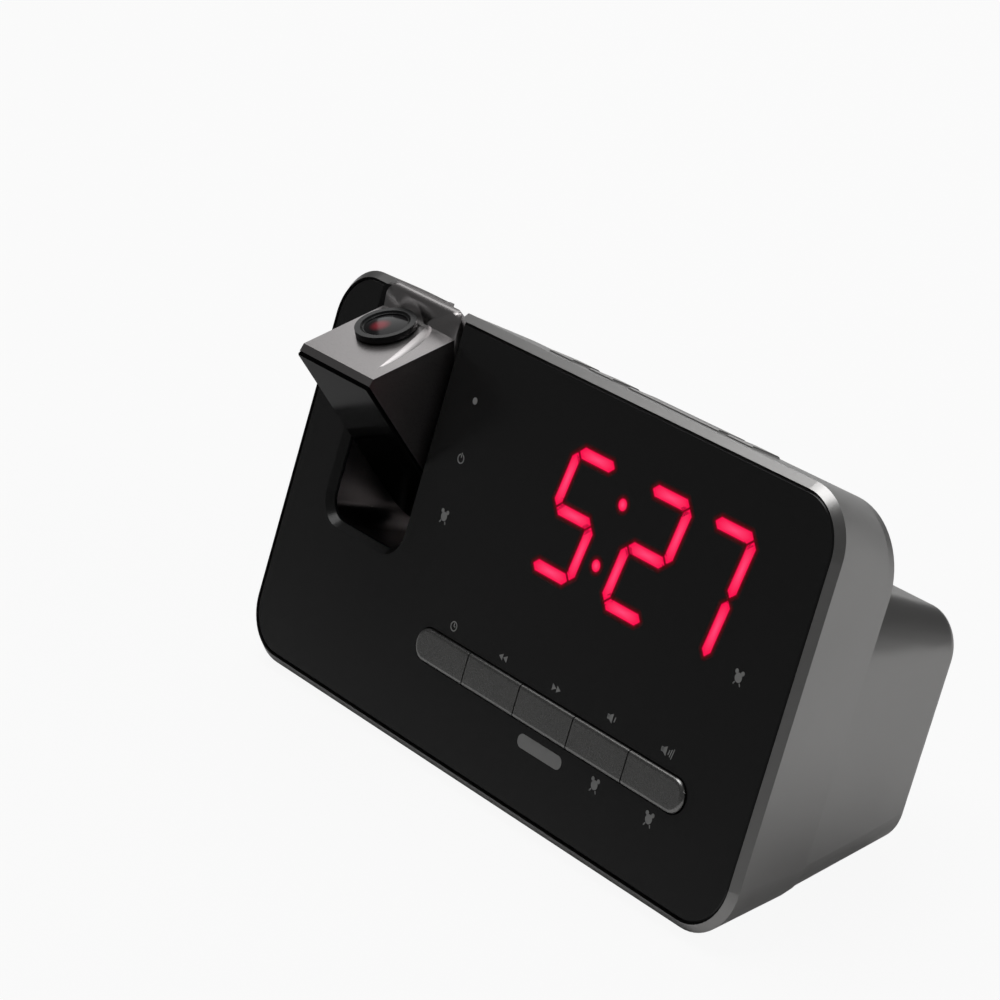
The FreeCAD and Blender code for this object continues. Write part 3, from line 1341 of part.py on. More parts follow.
def export_all():
    """Check every object and write one file for each piece."""
    for thing in document.Objects:
        if "Invalid" in thing.State or "Error" in thing.State:
            raise RuntimeError(f"{thing.Label} failed: {thing.State}")
    os.makedirs("parts", exist_ok=True)
    for thing, label, _ in nodes:
        shape = thing.Shape
        if shape.isNull() or not shape.isValid() or not shape.Solids:
            raise RuntimeError(f"{label} has no valid solid")
        shape.exportStep(f"parts/{label}.step")
        print(f"{label}: {len(shape.Solids)} solids, {shape.Volume:.1f} mm3")


make_front_shell()
make_front_panel()
make_projector_bay()
make_rear_cover()
make_front_keys()
make_top_keys()
make_head()
make_display()
make_boards()
make_batteries()
make_speaker()
make_inlet()
make_screws()
make_feet()
place_all()
export_all()
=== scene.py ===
import logging
import math
from dataclasses import dataclass
from enum import Enum

import bmesh
import bpy
from mathutils import Matrix, Vector

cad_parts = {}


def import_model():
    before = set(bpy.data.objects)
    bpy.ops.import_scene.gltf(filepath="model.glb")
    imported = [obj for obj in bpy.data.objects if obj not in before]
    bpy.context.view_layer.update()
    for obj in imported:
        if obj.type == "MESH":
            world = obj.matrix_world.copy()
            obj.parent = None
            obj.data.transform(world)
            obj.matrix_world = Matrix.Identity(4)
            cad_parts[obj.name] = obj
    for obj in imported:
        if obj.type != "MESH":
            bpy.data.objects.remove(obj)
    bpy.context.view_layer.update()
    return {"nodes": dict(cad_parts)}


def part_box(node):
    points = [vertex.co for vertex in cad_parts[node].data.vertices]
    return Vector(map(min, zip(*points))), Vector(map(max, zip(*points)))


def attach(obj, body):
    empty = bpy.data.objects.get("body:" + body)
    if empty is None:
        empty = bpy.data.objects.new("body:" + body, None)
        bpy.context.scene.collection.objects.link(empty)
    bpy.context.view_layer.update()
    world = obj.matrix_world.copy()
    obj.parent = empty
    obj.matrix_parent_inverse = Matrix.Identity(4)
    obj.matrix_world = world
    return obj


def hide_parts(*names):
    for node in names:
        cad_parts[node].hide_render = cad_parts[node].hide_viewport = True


LOG = logging.getLogger("clock")

MM = 0.001
HOUSING = "housing"
HEAD = "projector_head"
RING = "focus_ring"


class Grain(Enum):
    """How the fine surface texture of a finish is laid."""

    METAL_FLAKE = "metal_flake"
    SMOOTH = "smooth"
    MOULDED = "moulded"


class Symbol(Enum):
    """Generic symbols printed beside the keys and the display."""

    BELL = "bell"
    POWER = "power"
    BACK = "back"
    FORWARD = "forward"
    QUIET = "quiet"
    LOUD = "loud"
    DIAL = "dial"
    LAMP = "lamp"
    PILL = "pill"


def surface_grain_group() -> bpy.types.NodeTree:
    """Build the node group that every finish uses for its grain.

    Returns:
        The group, with a fine height and a slow drift as outputs.
    """
    name = "surface_grain"
    if name in bpy.data.node_groups:
        return bpy.data.node_groups[name]
    group = bpy.data.node_groups.new(name, "ShaderNodeTree")
    group.interface.new_socket("Fine Scale", in_out="INPUT", socket_type="NodeSocketFloat")
    group.interface.new_socket("Wide Scale", in_out="INPUT", socket_type="NodeSocketFloat")
    group.interface.new_socket("Height", in_out="OUTPUT", socket_type="NodeSocketFloat")
    group.interface.new_socket("Drift", in_out="OUTPUT", socket_type="NodeSocketFloat")
    nodes, links = group.nodes, group.links
    entry = nodes.new("NodeGroupInput")
    leave = nodes.new("NodeGroupOutput")
    place = nodes.new("ShaderNodeTexCoord")
    fine = nodes.new("ShaderNodeTexNoise")
    fine.inputs["Detail"].default_value = 3.0
    fine.inputs["Roughness"].default_value = 0.6
    wide = nodes.new("ShaderNodeTexNoise")
    wide.inputs["Detail"].default_value = 4.0
    links.new(place.outputs["Object"], fine.inputs["Vector"])
    links.new(place.outputs["Object"], wide.inputs["Vector"])
    links.new(entry.outputs["Fine Scale"], fine.inputs["Scale"])
    links.new(entry.outputs["Wide Scale"], wide.inputs["Scale"])
    links.new(fine.outputs["Fac"], leave.inputs["Height"])
    links.new(wide.outputs["Fac"], leave.inputs["Drift"])
    return group


@dataclass(frozen=True)
class Finish:
    """A painted, moulded or plated surface."""

    name: str
    colour: tuple[float, float, float]
    drift: tuple[float, float, float]
    metallic: float
    roughness: tuple[float, float]
    specular: float = 0.5
    coat: float = 0.0
    grain: Grain = Grain.SMOOTH
    fine_scale: float = 2500.0
    wide_scale: float = 30.0
    bump: float = 0.04

    def material(self) -> bpy.types.Material:
        """Build the finish once and hand it out afterwards.

        Returns:
            The material, with its grain, colour drift and roughness from nodes.
        """
        if self.name in bpy.data.materials:
            return bpy.data.materials[self.name]
        material = bpy.data.materials.new(self.name)
        material.use_nodes = True
        nodes, links = material.node_tree.nodes, material.node_tree.links
        shader = nodes["Principled BSDF"]
        shader.inputs["Metallic"].default_value = self.metallic
        shader.inputs["Specular IOR Level"].default_value = self.specular
        shader.inputs["Coat Weight"].default_value = self.coat
        shader.inputs["Coat Roughness"].default_value = 0.06
        grain = nodes.new("ShaderNodeGroup")
        grain.node_tree = surface_grain_group()
        grain.inputs["Fine Scale"].default_value = self.fine_scale
        grain.inputs["Wide Scale"].default_value = self.wide_scale
        tint = nodes.new("ShaderNodeMix")
        tint.data_type = "RGBA"
        tint.inputs[6].default_value = (*self.colour, 1.0)
        tint.inputs[7].default_value = (*self.drift, 1.0)
        links.new(grain.outputs["Drift"], tint.inputs[0])
        links.new(tint.outputs[2], shader.inputs["Base Color"])
        rough = nodes.new("ShaderNodeMapRange")
        rough.inputs["From Min"].default_value = 0.3
        rough.inputs["From Max"].default_value = 0.7
        rough.inputs["To Min"].default_value = self.roughness[0]
        rough.inputs["To Max"].default_value = self.roughness[1]
        source = "Height" if self.grain is Grain.METAL_FLAKE else "Drift"
        links.new(grain.outputs[source], rough.inputs["Value"])
        links.new(rough.outputs["Result"], shader.inputs["Roughness"])
        if self.grain is not Grain.SMOOTH:
            relief = nodes.new("ShaderNodeBump")
            relief.inputs["Strength"].default_value = self.bump
            relief.inputs["Distance"].default_value = 0.0001
            links.new(grain.outputs["Height"], relief.inputs["Height"])
            links.new(relief.outputs["Normal"], shader.inputs["Normal"])
        return material


@dataclass(frozen=True)
class Glass:
    """Clear glass of the projection lens, which lies under the front glass."""

    name: str = "lens_glass"
    tint: tuple[float, float, float] = (0.62, 0.60, 0.62)
    roughness: float = 0.02

    def material(self) -> bpy.types.Material:
        """Build the glass with a faint smear in its roughness."""
        if self.name in bpy.data.materials:
            return bpy.data.materials[self.name]
        material = bpy.data.materials.new(self.name)
        material.use_nodes = True
        nodes, links = material.node_tree.nodes, material.node_tree.links
        shader = nodes["Principled BSDF"]
        shader.inputs["Base Color"].default_value = (*self.tint, 1.0)
        shader.inputs["Transmission Weight"].default_value = 1.0
        shader.inputs["IOR"].default_value = 1.5
        grain = nodes.new("ShaderNodeGroup")
        grain.node_tree = surface_grain_group()
        grain.inputs["Wide Scale"].default_value = 400.0
        smear = nodes.new("ShaderNodeMapRange")
        smear.inputs["To Min"].default_value = 0.0
        smear.inputs["To Max"].default_value = 2 * self.roughness
        links.new(grain.outputs["Drift"], smear.inputs["Value"])
        links.new(smear.outputs["Result"], shader.inputs["Roughness"])
        return material


@dataclass(frozen=True)
class LensFront:
    """Dark coated front glass, opaque and painted near black for the shade inside the lens, with the slide's
    red light painted as a glow in its middle.
    """

    name: str = "lens_front_glass"
    # Painted shade: the near-black colour stands in for the unlit inside seen through a clear lens.
    colour: tuple[float, float, float] = (0.004, 0.0038, 0.0042)
    glow: tuple[float, float, float] = (0.16, 0.008, 0.016)
    centre: tuple[float, float, float] = (-0.0626, -0.0066, 0.0858)
    reach: tuple[float, float] = (0.0006, 0.0031)

    def material(self) -> bpy.types.Material:
        """Build the glass, whose painted red glow falls off with the distance from its centre."""
        if self.name in bpy.data.materials:
            return bpy.data.materials[self.name]
        material = bpy.data.materials.new(self.name)
        material.use_nodes = True
        nodes, links = material.node_tree.nodes, material.node_tree.links
        shader = nodes["Principled BSDF"]
        shader.inputs["Base Color"].default_value = (*self.colour, 1.0)
        shader.inputs["Specular IOR Level"].default_value = 0.15
        shader.inputs["Coat Weight"].default_value = 0.2
        shader.inputs["Coat Roughness"].default_value = 0.12
        shader.inputs["Emission Strength"].default_value = 1.0
        grain = nodes.new("ShaderNodeGroup")
        grain.node_tree = surface_grain_group()
        grain.inputs["Wide Scale"].default_value = 700.0
        smear = nodes.new("ShaderNodeMapRange")
        smear.inputs["To Min"].default_value = 0.04
        smear.inputs["To Max"].default_value = 0.2
        links.new(grain.outputs["Drift"], smear.inputs["Value"])
        links.new(smear.outputs["Result"], shader.inputs["Roughness"])
        place = nodes.new("ShaderNodeTexCoord")
        away = nodes.new("ShaderNodeVectorMath")
        away.operation = "DISTANCE"
        away.inputs[1].default_value = self.centre
        spot = nodes.new("ShaderNodeMapRange")
        spot.interpolation_type = "SMOOTHSTEP"
        spot.inputs["From Min"].default_value = self.reach[1]
        spot.inputs["From Max"].default_value = self.reach[0]
        # Painted light: the slide's red glow, laid on the glass as emission.
        red = nodes.new("ShaderNodeMix")
        red.data_type = "RGBA"
        red.inputs[6].default_value = (0.002, 0.0018, 0.002, 1.0)
        red.inputs[7].default_value = (*self.glow, 1.0)
        links.new(place.outputs["Object"], away.inputs[0])
        links.new(away.outputs["Value"], spot.inputs["Value"])
        links.new(spot.outputs["Result"], red.inputs[0])
        links.new(red.outputs[2], shader.inputs["Emission Color"])
        return material


@dataclass(frozen=True)
class Light:
    """A lit red surface, which can fade out where its mesh's glow attribute falls to nothing."""

    name: str
    bright: tuple[float, float, float]
    deep: tuple[float, float, float]
    strength: float
    fades: bool = True
    heart: tuple[float, float, float] = (1.0, 0.065, 0.19)

    def material(self) -> bpy.types.Material:
        """Build the light; one that fades is brightest in the middle of each bar.

        Returns:
            The material, with emission and, where it fades, alpha from the glow attribute.
        """
        if self.name in bpy.data.materials:
            return bpy.data.materials[self.name]
        material = bpy.data.materials.new(self.name)
        material.use_nodes = True
        nodes, links = material.node_tree.nodes, material.node_tree.links
        shader = nodes["Principled BSDF"]
        shader.inputs["Base Color"].default_value = (0.02, 0.0, 0.002, 1.0)
        shader.inputs["Roughness"].default_value = 0.3
        shader.inputs["Specular IOR Level"].default_value = 0.1
        shader.inputs["Emission Strength"].default_value = self.strength
        grain = nodes.new("ShaderNodeGroup")
        grain.node_tree = surface_grain_group()
        grain.inputs["Fine Scale"].default_value = 900.0
        grain.inputs["Wide Scale"].default_value = 120.0
        tint = nodes.new("ShaderNodeMix")
        tint.data_type = "RGBA"
        tint.inputs[6].default_value = (*self.bright, 1.0)
        tint.inputs[7].default_value = (*self.deep, 1.0)
        links.new(grain.outputs["Drift"], tint.inputs[0])
        if not self.fades:
            links.new(tint.outputs[2], shader.inputs["Emission Color"])
            return material
        glow = nodes.new("ShaderNodeAttribute")
        glow.attribute_name = "glow"
        rim = nodes.new("ShaderNodeMapRange")
        rim.inputs["From Min"].default_value = 0.3
        rim.inputs["From Max"].default_value = 1.0
        middle = nodes.new("ShaderNodeMapRange")
        middle.inputs["From Min"].default_value = 1.0
        middle.inputs["From Max"].default_value = 2.0
        fade = nodes.new("ShaderNodeMix")
        fade.data_type = "RGBA"
        fade.inputs[6].default_value = (0.22, 0.0, 0.006, 1.0)
        heart = nodes.new("ShaderNodeMix")
        heart.data_type = "RGBA"
        heart.inputs[7].default_value = (*self.heart, 1.0)
        links.new(glow.outputs["Fac"], rim.inputs["Value"])
        links.new(glow.outputs["Fac"], middle.inputs["Value"])
        links.new(rim.outputs["Result"], fade.inputs[0])
        links.new(tint.outputs[2], fade.inputs[7])
        links.new(middle.outputs["Result"], heart.inputs[0])
        links.new(fade.outputs[2], heart.inputs[6])
        links.new(heart.outputs[2], shader.inputs["Emission Color"])
        veil = nodes.new("ShaderNodeMath")
        veil.operation = "POWER"
        veil.use_clamp = True
        veil.inputs[1].default_value = 1.2
        links.new(glow.outputs["Fac"], veil.inputs[0])
        links.new(veil.outputs["Value"], shader.inputs["Alpha"])
        return material


SILVER_PAINT = Finish(
    "silver_paint", (0.44, 0.435, 0.43), (0.38, 0.375, 0.37), 1.0, (0.28, 0.36),
    grain=Grain.METAL_FLAKE, fine_scale=6000.0, bump=0.05,
)
SILVER_HEAD = Finish(
    "silver_head_paint", (0.44, 0.42, 0.42), (0.38, 0.365, 0.365), 1.0, (0.26, 0.34),
    grain=Grain.METAL_FLAKE, fine_scale=6000.0, bump=0.05,
)
# Painted shade: the silver paint made darker for the front keys, standing in for the dark space in front of
# the clock that they reflect.
SHADED_SILVER_KEYS = Finish(
    "silver_key_paint", (0.33, 0.325, 0.32), (0.28, 0.28, 0.275), 1.0, (0.24, 0.32),
    grain=Grain.METAL_FLAKE, fine_scale=5000.0, bump=0.05,
)
BLACK_GLOSS = Finish(
    "black_gloss", (0.0011, 0.0011, 0.0012), (0.0016, 0.0016, 0.0017), 0.0, (0.04, 0.09), specular=0.03,
    grain=Grain.SMOOTH, wide_scale=45.0,
)
BLACK_FACE = Finish(
    "black_face", (0.0011, 0.0011, 0.0012), (0.0016, 0.0016, 0.0017), 0.0, (0.1, 0.16), specular=0.02,
    grain=Grain.SMOOTH, wide_scale=45.0,
)
BLACK_SATIN = Finish(
    "black_satin", (0.018, 0.018, 0.019), (0.026, 0.026, 0.027), 0.0, (0.32, 0.42), specular=0.4,
    grain=Grain.MOULDED, fine_scale=3000.0, bump=0.06,
)
BLACK_RING = Finish(
    "black_ring", (0.007, 0.007, 0.0072), (0.012, 0.012, 0.0122), 0.0, (0.2, 0.3), specular=0.35,
    grain=Grain.MOULDED, fine_scale=3000.0, bump=0.04,
)
RUBBER = Finish(
    "foot_rubber", (0.02, 0.02, 0.02), (0.03, 0.03, 0.029), 0.0, (0.75, 0.9), specular=0.25,
    grain=Grain.MOULDED, fine_scale=2200.0, bump=0.2,
)
STEEL = Finish(
    "zinc_steel", (0.55, 0.55, 0.54), (0.45, 0.45, 0.45), 1.0, (0.25, 0.4),
    grain=Grain.METAL_FLAKE, fine_scale=1800.0, bump=0.08,
)
CIRCUIT = Finish(
    "circuit_board", (0.02, 0.10, 0.04), (0.03, 0.14, 0.06), 0.0, (0.3, 0.45),
    grain=Grain.MOULDED, fine_scale=900.0, bump=0.1,
)
PAPER_CONE = Finish(
    "paper_cone", (0.03, 0.03, 0.03), (0.05, 0.05, 0.048), 0.0, (0.8, 0.95), specular=0.2,
    grain=Grain.MOULDED, fine_scale=1600.0, bump=0.4,
)
CELL_WRAP = Finish(
    "cell_wrap", (0.10, 0.10, 0.11), (0.16, 0.16, 0.17), 0.1, (0.25, 0.35), coat=0.3,
)
PRINT_INK = Finish(
    "print_ink", (0.42, 0.42, 0.41), (0.34, 0.34, 0.34), 0.0, (0.5, 0.65), specular=0.3,
    grain=Grain.MOULDED, fine_scale=2600.0, bump=0.05,
)
LENS_GLASS = Glass()
LENS_FRONT = LensFront()
DIGIT_LIGHT = Light("digit_light", (1.0, 0.0, 0.062), (0.9, 0.004, 0.07), 1.0)
SLIDE_LIGHT = Light("slide_light", (0.55, 0.01, 0.03), (0.08, 0.0, 0.005), 1.6, fades=False)

# Finish of every solid that the frame brings
NODE_FINISHES: dict[str, Finish | Glass | LensFront | Light] = {
    "front_shell": SILVER_PAINT,
    "rear_cover": SILVER_PAINT,
    "battery_door": SILVER_PAINT,
    "projector_bay": SILVER_HEAD,
    "head_shell": SILVER_HEAD,
    "front_panel": BLACK_GLOSS,
    "head_face": BLACK_FACE,
    "memory_key": SHADED_SILVER_KEYS,
    "rewind_key": SHADED_SILVER_KEYS,
    "forward_key": SHADED_SILVER_KEYS,
    "volume_down_key": SHADED_SILVER_KEYS,
    "volume_up_key": SHADED_SILVER_KEYS,
    "alarm_one_key": SILVER_PAINT,
    "alarm_two_key": SILVER_PAINT,
    "snooze_bar": SILVER_PAINT,
    "dimmer_key": SILVER_PAINT,
    "focus_ring": BLACK_RING,
    "projection_lens": LENS_GLASS,
    "lens_barrel": BLACK_SATIN,
    "slide_display": SLIDE_LIGHT,
    "projector_lamp": SLIDE_LIGHT,
    "projector_board": CIRCUIT,
    "pivot_pins": STEEL,
    "display_segments": SLIDE_LIGHT,
    "display_reflector": BLACK_SATIN,
    "display_board": CIRCUIT,
    "key_board": CIRCUIT,
    "key_switches": BLACK_SATIN,
    "top_key_board": CIRCUIT,
    "top_switches": BLACK_SATIN,
    "main_board": CIRCUIT,
    "board_screws": STEEL,
    "battery_tray": BLACK_SATIN,
    "batteries": CELL_WRAP,
    "battery_contacts": STEEL,
    "door_screw": STEEL,
    "speaker_basket": STEEL,
    "speaker_cone": PAPER_CONE,
    "speaker_magnet": STEEL,
    "dc_inlet": BLACK_SATIN,
    "case_screws": STEEL,
    "rubber_feet": RUBBER,
}


def deselect() -> None:
    """Leave nothing selected, so that an operator acts only on what comes next."""
    bpy.ops.object.select_all(action="DESELECT")


def join_pieces(name: str, pieces: list[bpy.types.Object]) -> bpy.types.Object:
    """Join separate meshes into one object.

    Args:
        name: Name of the joined object.
        pieces: Meshes to join; the first one stays.

    Returns:
        The joined object.
    """
    deselect()
    for piece in pieces:
        piece.select_set(True)
    bpy.context.view_layer.objects.active = pieces[0]
    if len(pieces) > 1:
        bpy.ops.object.join()
    joined = bpy.context.view_layer.objects.active
    joined.name = name
    joined.data.name = name
    return joined


def apply_place(piece: bpy.types.Object, place: Matrix) -> None:
    """Put a mesh drawn about the origin at its place and leave the object at the origin."""
    piece.data.transform(place @ piece.matrix_world)
    piece.matrix_world = Matrix.Identity(4)
    if place.determinant() < 0:
        piece.data.flip_normals()


def apply_modifier(piece: bpy.types.Object, kind: str, name: str, **values: float | str | bool) -> None:
    """Add a modifier, set it and apply it.

    Args:
        piece: Mesh that gets the modifier.
        kind: Type of modifier.
        name: Name of the modifier.
        **values: Settings of the modifier.
    """
    modifier = piece.modifiers.new(name, kind)
    for key, value in values.items():
        setattr(modifier, key, value)
    deselect()
    piece.select_set(True)
    bpy.context.view_layer.objects.active = piece
    bpy.ops.object.modifier_apply(modifier=modifier.name)


def dress(piece: bpy.types.Object, finish: Finish | Glass | LensFront | Light, body: str) -> bpy.types.Object:
    """Give a new piece its only material and the body that it rides on."""
    piece.data.materials.clear()
    piece.data.materials.append(finish.material())
    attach(piece, body)
    LOG.info("%s rides on %s", piece.name, body)
    return piece


@dataclass
class PanelFrame:
    """Frame of the leaning front panel: X right, Y straight back, Z up along the panel."""

    lean: float = 25.7
    front: float = 0.2
    thickness: float = 2.4
    half_height: float = 47.7
    edge: float = 0.6

    def place(self) -> Matrix:
        """Work out the panel frame's place from the panel's own box.

        Returns:
            The matrix from millimetres in the panel frame to metres in the clock's frame.
        """
        low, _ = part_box("front_panel")
        angle = math.radians(self.lean)
        depth = self.front + self.thickness
        lift = low[2] / MM + math.sin(angle) * depth + math.cos(angle) * self.half_height
        foremost = math.cos(angle) * self.front - math.sin(angle) * (self.half_height - self.edge)
        shift = low[1] / MM - foremost
        place = Matrix.Translation(Vector((0.0, shift, lift)) * MM)
        return place @ Matrix.Rotation(-angle, 4, "X") @ Matrix.Scale(MM, 4)

    def sheet(self, lift: float) -> Matrix:
        """Matrix of a sheet drawn flat in X and Y, laid on the panel's face and raised by a height."""
        upright = Matrix(((1, 0, 0, 0), (0, 0, -1, self.front - lift), (0, 1, 0, 0), (0, 0, 0, 1)))
        return self.place() @ upright


@dataclass
class SheetDrawing:
    """Thin shapes drawn flat in millimetres, from planes and circles."""

    thickness: float = 0.04

    def bar(self, x: float, y: float, length: float, width: float, angle: float = 0.0) -> bpy.types.Object:
        """Add a straight bar about a centre, turned by an angle in degrees."""
        deselect()
        bpy.ops.mesh.primitive_plane_add(size=1.0, location=(x, y, 0.0))
        bar = bpy.context.object
        bar.scale = (length, width, 1.0)
        bar.rotation_euler = (0.0, 0.0, math.radians(angle))
        bpy.ops.object.transform_apply(location=False, rotation=True, scale=True)
        return bar

    def lens_bar(self, length: float, width: float) -> bpy.types.Object:
        """Add a bar with pointed ends at the origin, as the segments of a digit have."""
        bar = self.bar(0.0, 0.0, length, width)
        bpy.ops.object.mode_set(mode="EDIT")
        bpy.ops.mesh.select_all(action="SELECT")
        bpy.ops.mesh.bevel(offset=width * 0.46, affect="VERTICES", segments=1)
        bpy.ops.object.mode_set(mode="OBJECT")
        return bar

    def pill(self, x: float, y: float, length: float, width: float) -> bpy.types.Object:
        """Add a bar whose ends are half rounds."""
        pill = self.bar(x, y, length, width)
        bpy.ops.object.mode_set(mode="EDIT")
        bpy.ops.mesh.select_all(action="SELECT")
        bpy.ops.mesh.bevel(offset=width * 0.49, affect="VERTICES", segments=8)
        bpy.ops.object.mode_set(mode="OBJECT")
        return pill

    def disc(self, x: float, y: float, radius: float, sides: int = 32) -> bpy.types.Object:
        """Add a filled disc."""
        deselect()
        bpy.ops.mesh.primitive_circle_add(
            vertices=sides, radius=radius, fill_type="NGON", location=(x, y, 0.0)
        )
        return bpy.context.object

    def ring(self, x: float, y: float, radius: float, width: float, gap: float = 0.0) -> bpy.types.Object:
        """Add a ring, with a gap at its top where one is asked for.

        Args:
            x: Centre across.
            y: Centre up.
            radius: Outer radius.
            width: Width of the ring's band.
            gap: Half width of the gap at the top.

        Returns:
            The ring's object.
        """
        ring = self.disc(x, y, radius)
        bpy.ops.object.mode_set(mode="EDIT")
        bpy.ops.mesh.select_all(action="SELECT")
        bpy.ops.mesh.inset(thickness=width)
        bpy.ops.mesh.delete(type="FACE")
        bpy.ops.object.mode_set(mode="OBJECT")
        mesh = bmesh.new()
        mesh.from_mesh(ring.data)
        away = [f for f in mesh.faces if f.calc_center_median().y > 0 and abs(f.calc_center_median().x) < gap]
        bmesh.ops.delete(mesh, geom=away, context="FACES")
        mesh.to_mesh(ring.data)
        mesh.free()
        return ring

    def wedge(self, x: float, y: float, size: float, angle: float) -> bpy.types.Object:
        """Add a filled triangle that points at an angle in degrees."""
        triangle = self.disc(x, y, size, sides=3)
        triangle.rotation_euler = (0.0, 0.0, math.radians(angle - 90.0))
        bpy.ops.object.transform_apply(location=False, rotation=True, scale=True)
        return triangle

    def lay(self, name: str, pieces: list[bpy.types.Object], place: Matrix) -> bpy.types.Object:
        """Join the drawn shapes, give them their thickness and put them at their place.

        Args:
            name: Name of the finished piece.
            pieces: Shapes drawn flat.
            place: Matrix from the drawing to the clock's frame.

        Returns:
            The finished piece.
        """
        drawing = join_pieces(name, pieces)
        apply_place(drawing, Matrix.Identity(4))
        if self.thickness > 0:
            apply_modifier(drawing, "SOLIDIFY", "thickness", thickness=self.thickness, offset=1.0)
        apply_place(drawing, place)
        return drawing


@dataclass
class LitDigits:
    """The time in red seven-segment light, as it shows through the dark panel."""

    height: float = 27.7
    width: float = 13.0
    bar: float = 2.6
    gap: float = 0.5
    slant: float = 9.1
    middle: float = 19.0
    halo: float = 1.3
    halo_levels: tuple[tuple[float, float], ...] = ((0.12, 0.5), (0.45, 0.24), (1.0, 0.0))
    lift: float = 0.02
    dot_radius: float = 1.3

    def centres(self) -> dict[str, float]:
        """Centres of the lit digits across the panel, at half their height."""
        return {"5": 11.75, "2": 37.4, "7": 58.4}

    def lit_bars(self) -> dict[str, tuple[str, ...]]:
        """Which of the seven bars each digit lights."""
        return {
            "5": ("top", "upper_left", "middle", "lower_right", "bottom"),
            "2": ("top", "upper_right", "middle", "lower_left", "bottom"),
            "7": ("top", "upper_right", "lower_right"),
        }

    def bar_places(self) -> dict[str, tuple[float, float, float]]:
        """Centre and turn of each bar in an upright digit."""
        side = self.width / 2
        rise = self.height / 4
        return {
            "top": (0.0, 2 * rise, 0.0),
            "middle": (0.0, 0.0, 0.0),
            "bottom": (0.0, -2 * rise, 0.0),
            "upper_left": (-side, rise, 90.0),
            "upper_right": (side, rise, 90.0),
            "lower_left": (-side, -rise, 90.0),
            "lower_right": (side, -rise, 90.0),
        }

    def add_halo(self, piece: bpy.types.Object) -> None:
        """Widen every shape by a rim whose glow attribute falls to nothing at its edge."""
        deselect()
        piece.select_set(True)
        bpy.context.view_layer.objects.active = piece
        bpy.ops.object.mode_set(mode="EDIT")
        bpy.ops.mesh.select_all(action="SELECT")
        bpy.ops.mesh.remove_doubles(threshold=0.01)
        bpy.ops.object.mode_set(mode="OBJECT")
        mesh = bmesh.new()
        mesh.from_mesh(piece.data)
        layer = mesh.verts.layers.float.new("glow")
        for vertex in mesh.verts:
            vertex[layer] = 1.0
        middles = bmesh.ops.poke(mesh, faces=list(mesh.faces))
        for vertex in middles["verts"]:
            vertex[layer] = 2.0
        reach = 0.0
        for share, level in self.halo_levels:
            rim = self.halo * share
            self.widen(mesh, layer, rim - reach, level)
            reach = rim
        mesh.to_mesh(piece.data)
        mesh.free()

    def widen(
        self, mesh: bmesh.types.BMesh, layer: bmesh.types.BMLayerItem, width: float, level: float
    ) -> None:
        """Add a band of faces round every shape.

        Args:
            mesh: Flat mesh to widen.
            layer: Its glow values.
            width: Width of the band.
            level: Glow at the band's outer edge.
        """
        edges = [edge for edge in mesh.edges if edge.is_boundary]
        outward: dict[tuple[float, ...], list[Vector]] = {}
        for edge in edges:
            along = (edge.verts[1].co - edge.verts[0].co).normalized()
            away = Vector((along.y, -along.x, 0.0))
            middle = (edge.verts[0].co + edge.verts[1].co) / 2
            if away.dot(middle - edge.link_faces[0].calc_center_median()) < 0:
                away = -away
            for vertex in edge.verts:
                outward.setdefault(self.spot(vertex), []).append(away)
        grown = bmesh.ops.extrude_edge_only(mesh, edges=edges)
        for vertex in (item for item in grown["geom"] if isinstance(item, bmesh.types.BMVert)):
            first, last = outward[self.spot(vertex)][0], outward[self.spot(vertex)][-1]
            vertex.co += (first + last) * width / (1.0 + max(first.dot(last), -0.5))
            vertex[layer] = level

    def spot(self, vertex: bmesh.types.BMVert) -> tuple[float, ...]:
        """Place of a corner, rounded so that it can be looked up."""
        return tuple(round(value, 3) for value in vertex.co)

    def build(self, panel: PanelFrame) -> list[bpy.types.Object]:
        """Draw each lit digit and the two dots, and lay them on the panel.

        Args:
            panel: Frame of the panel.

        Returns:
            The lit pieces.
        """
        drawing = SheetDrawing(thickness=0.0)
        lean = Matrix.Identity(4)
        lean[0][1] = math.tan(math.radians(self.slant))
        made = []
        names = {"5": "hour_digit_light", "2": "tens_digit_light", "7": "minute_digit_light"}
        for digit, centre in self.centres().items():
            bars = []
            for name in self.lit_bars()[digit]:
                x, y, turn = self.bar_places()[name]
                reach = (self.width if turn == 0.0 else self.height / 2) - 2 * self.gap
                bar = drawing.lens_bar(reach, self.bar)
                turned = Matrix.Rotation(math.radians(turn), 4, "Z")
                apply_place(bar, Matrix.Translation((x, y, 0.0)) @ turned)
                bars.append(bar)
            piece = join_pieces(names[digit], bars)
            apply_place(piece, Matrix.Translation((centre, self.middle, 0.0)) @ lean)
            self.add_halo(piece)
            apply_place(piece, panel.sheet(self.lift))
            made.append(dress(piece, DIGIT_LIGHT, HOUSING))
        dots = [drawing.disc(x, y, self.dot_radius) for x, y in ((25.8, 26.5), (23.2, 11.5))]
        piece = join_pieces("colon_light", dots)
        apply_place(piece, Matrix.Identity(4))
        self.add_halo(piece)
        apply_place(piece, panel.sheet(self.lift))
        made.append(dress(piece, DIGIT_LIGHT, HOUSING))
        return made


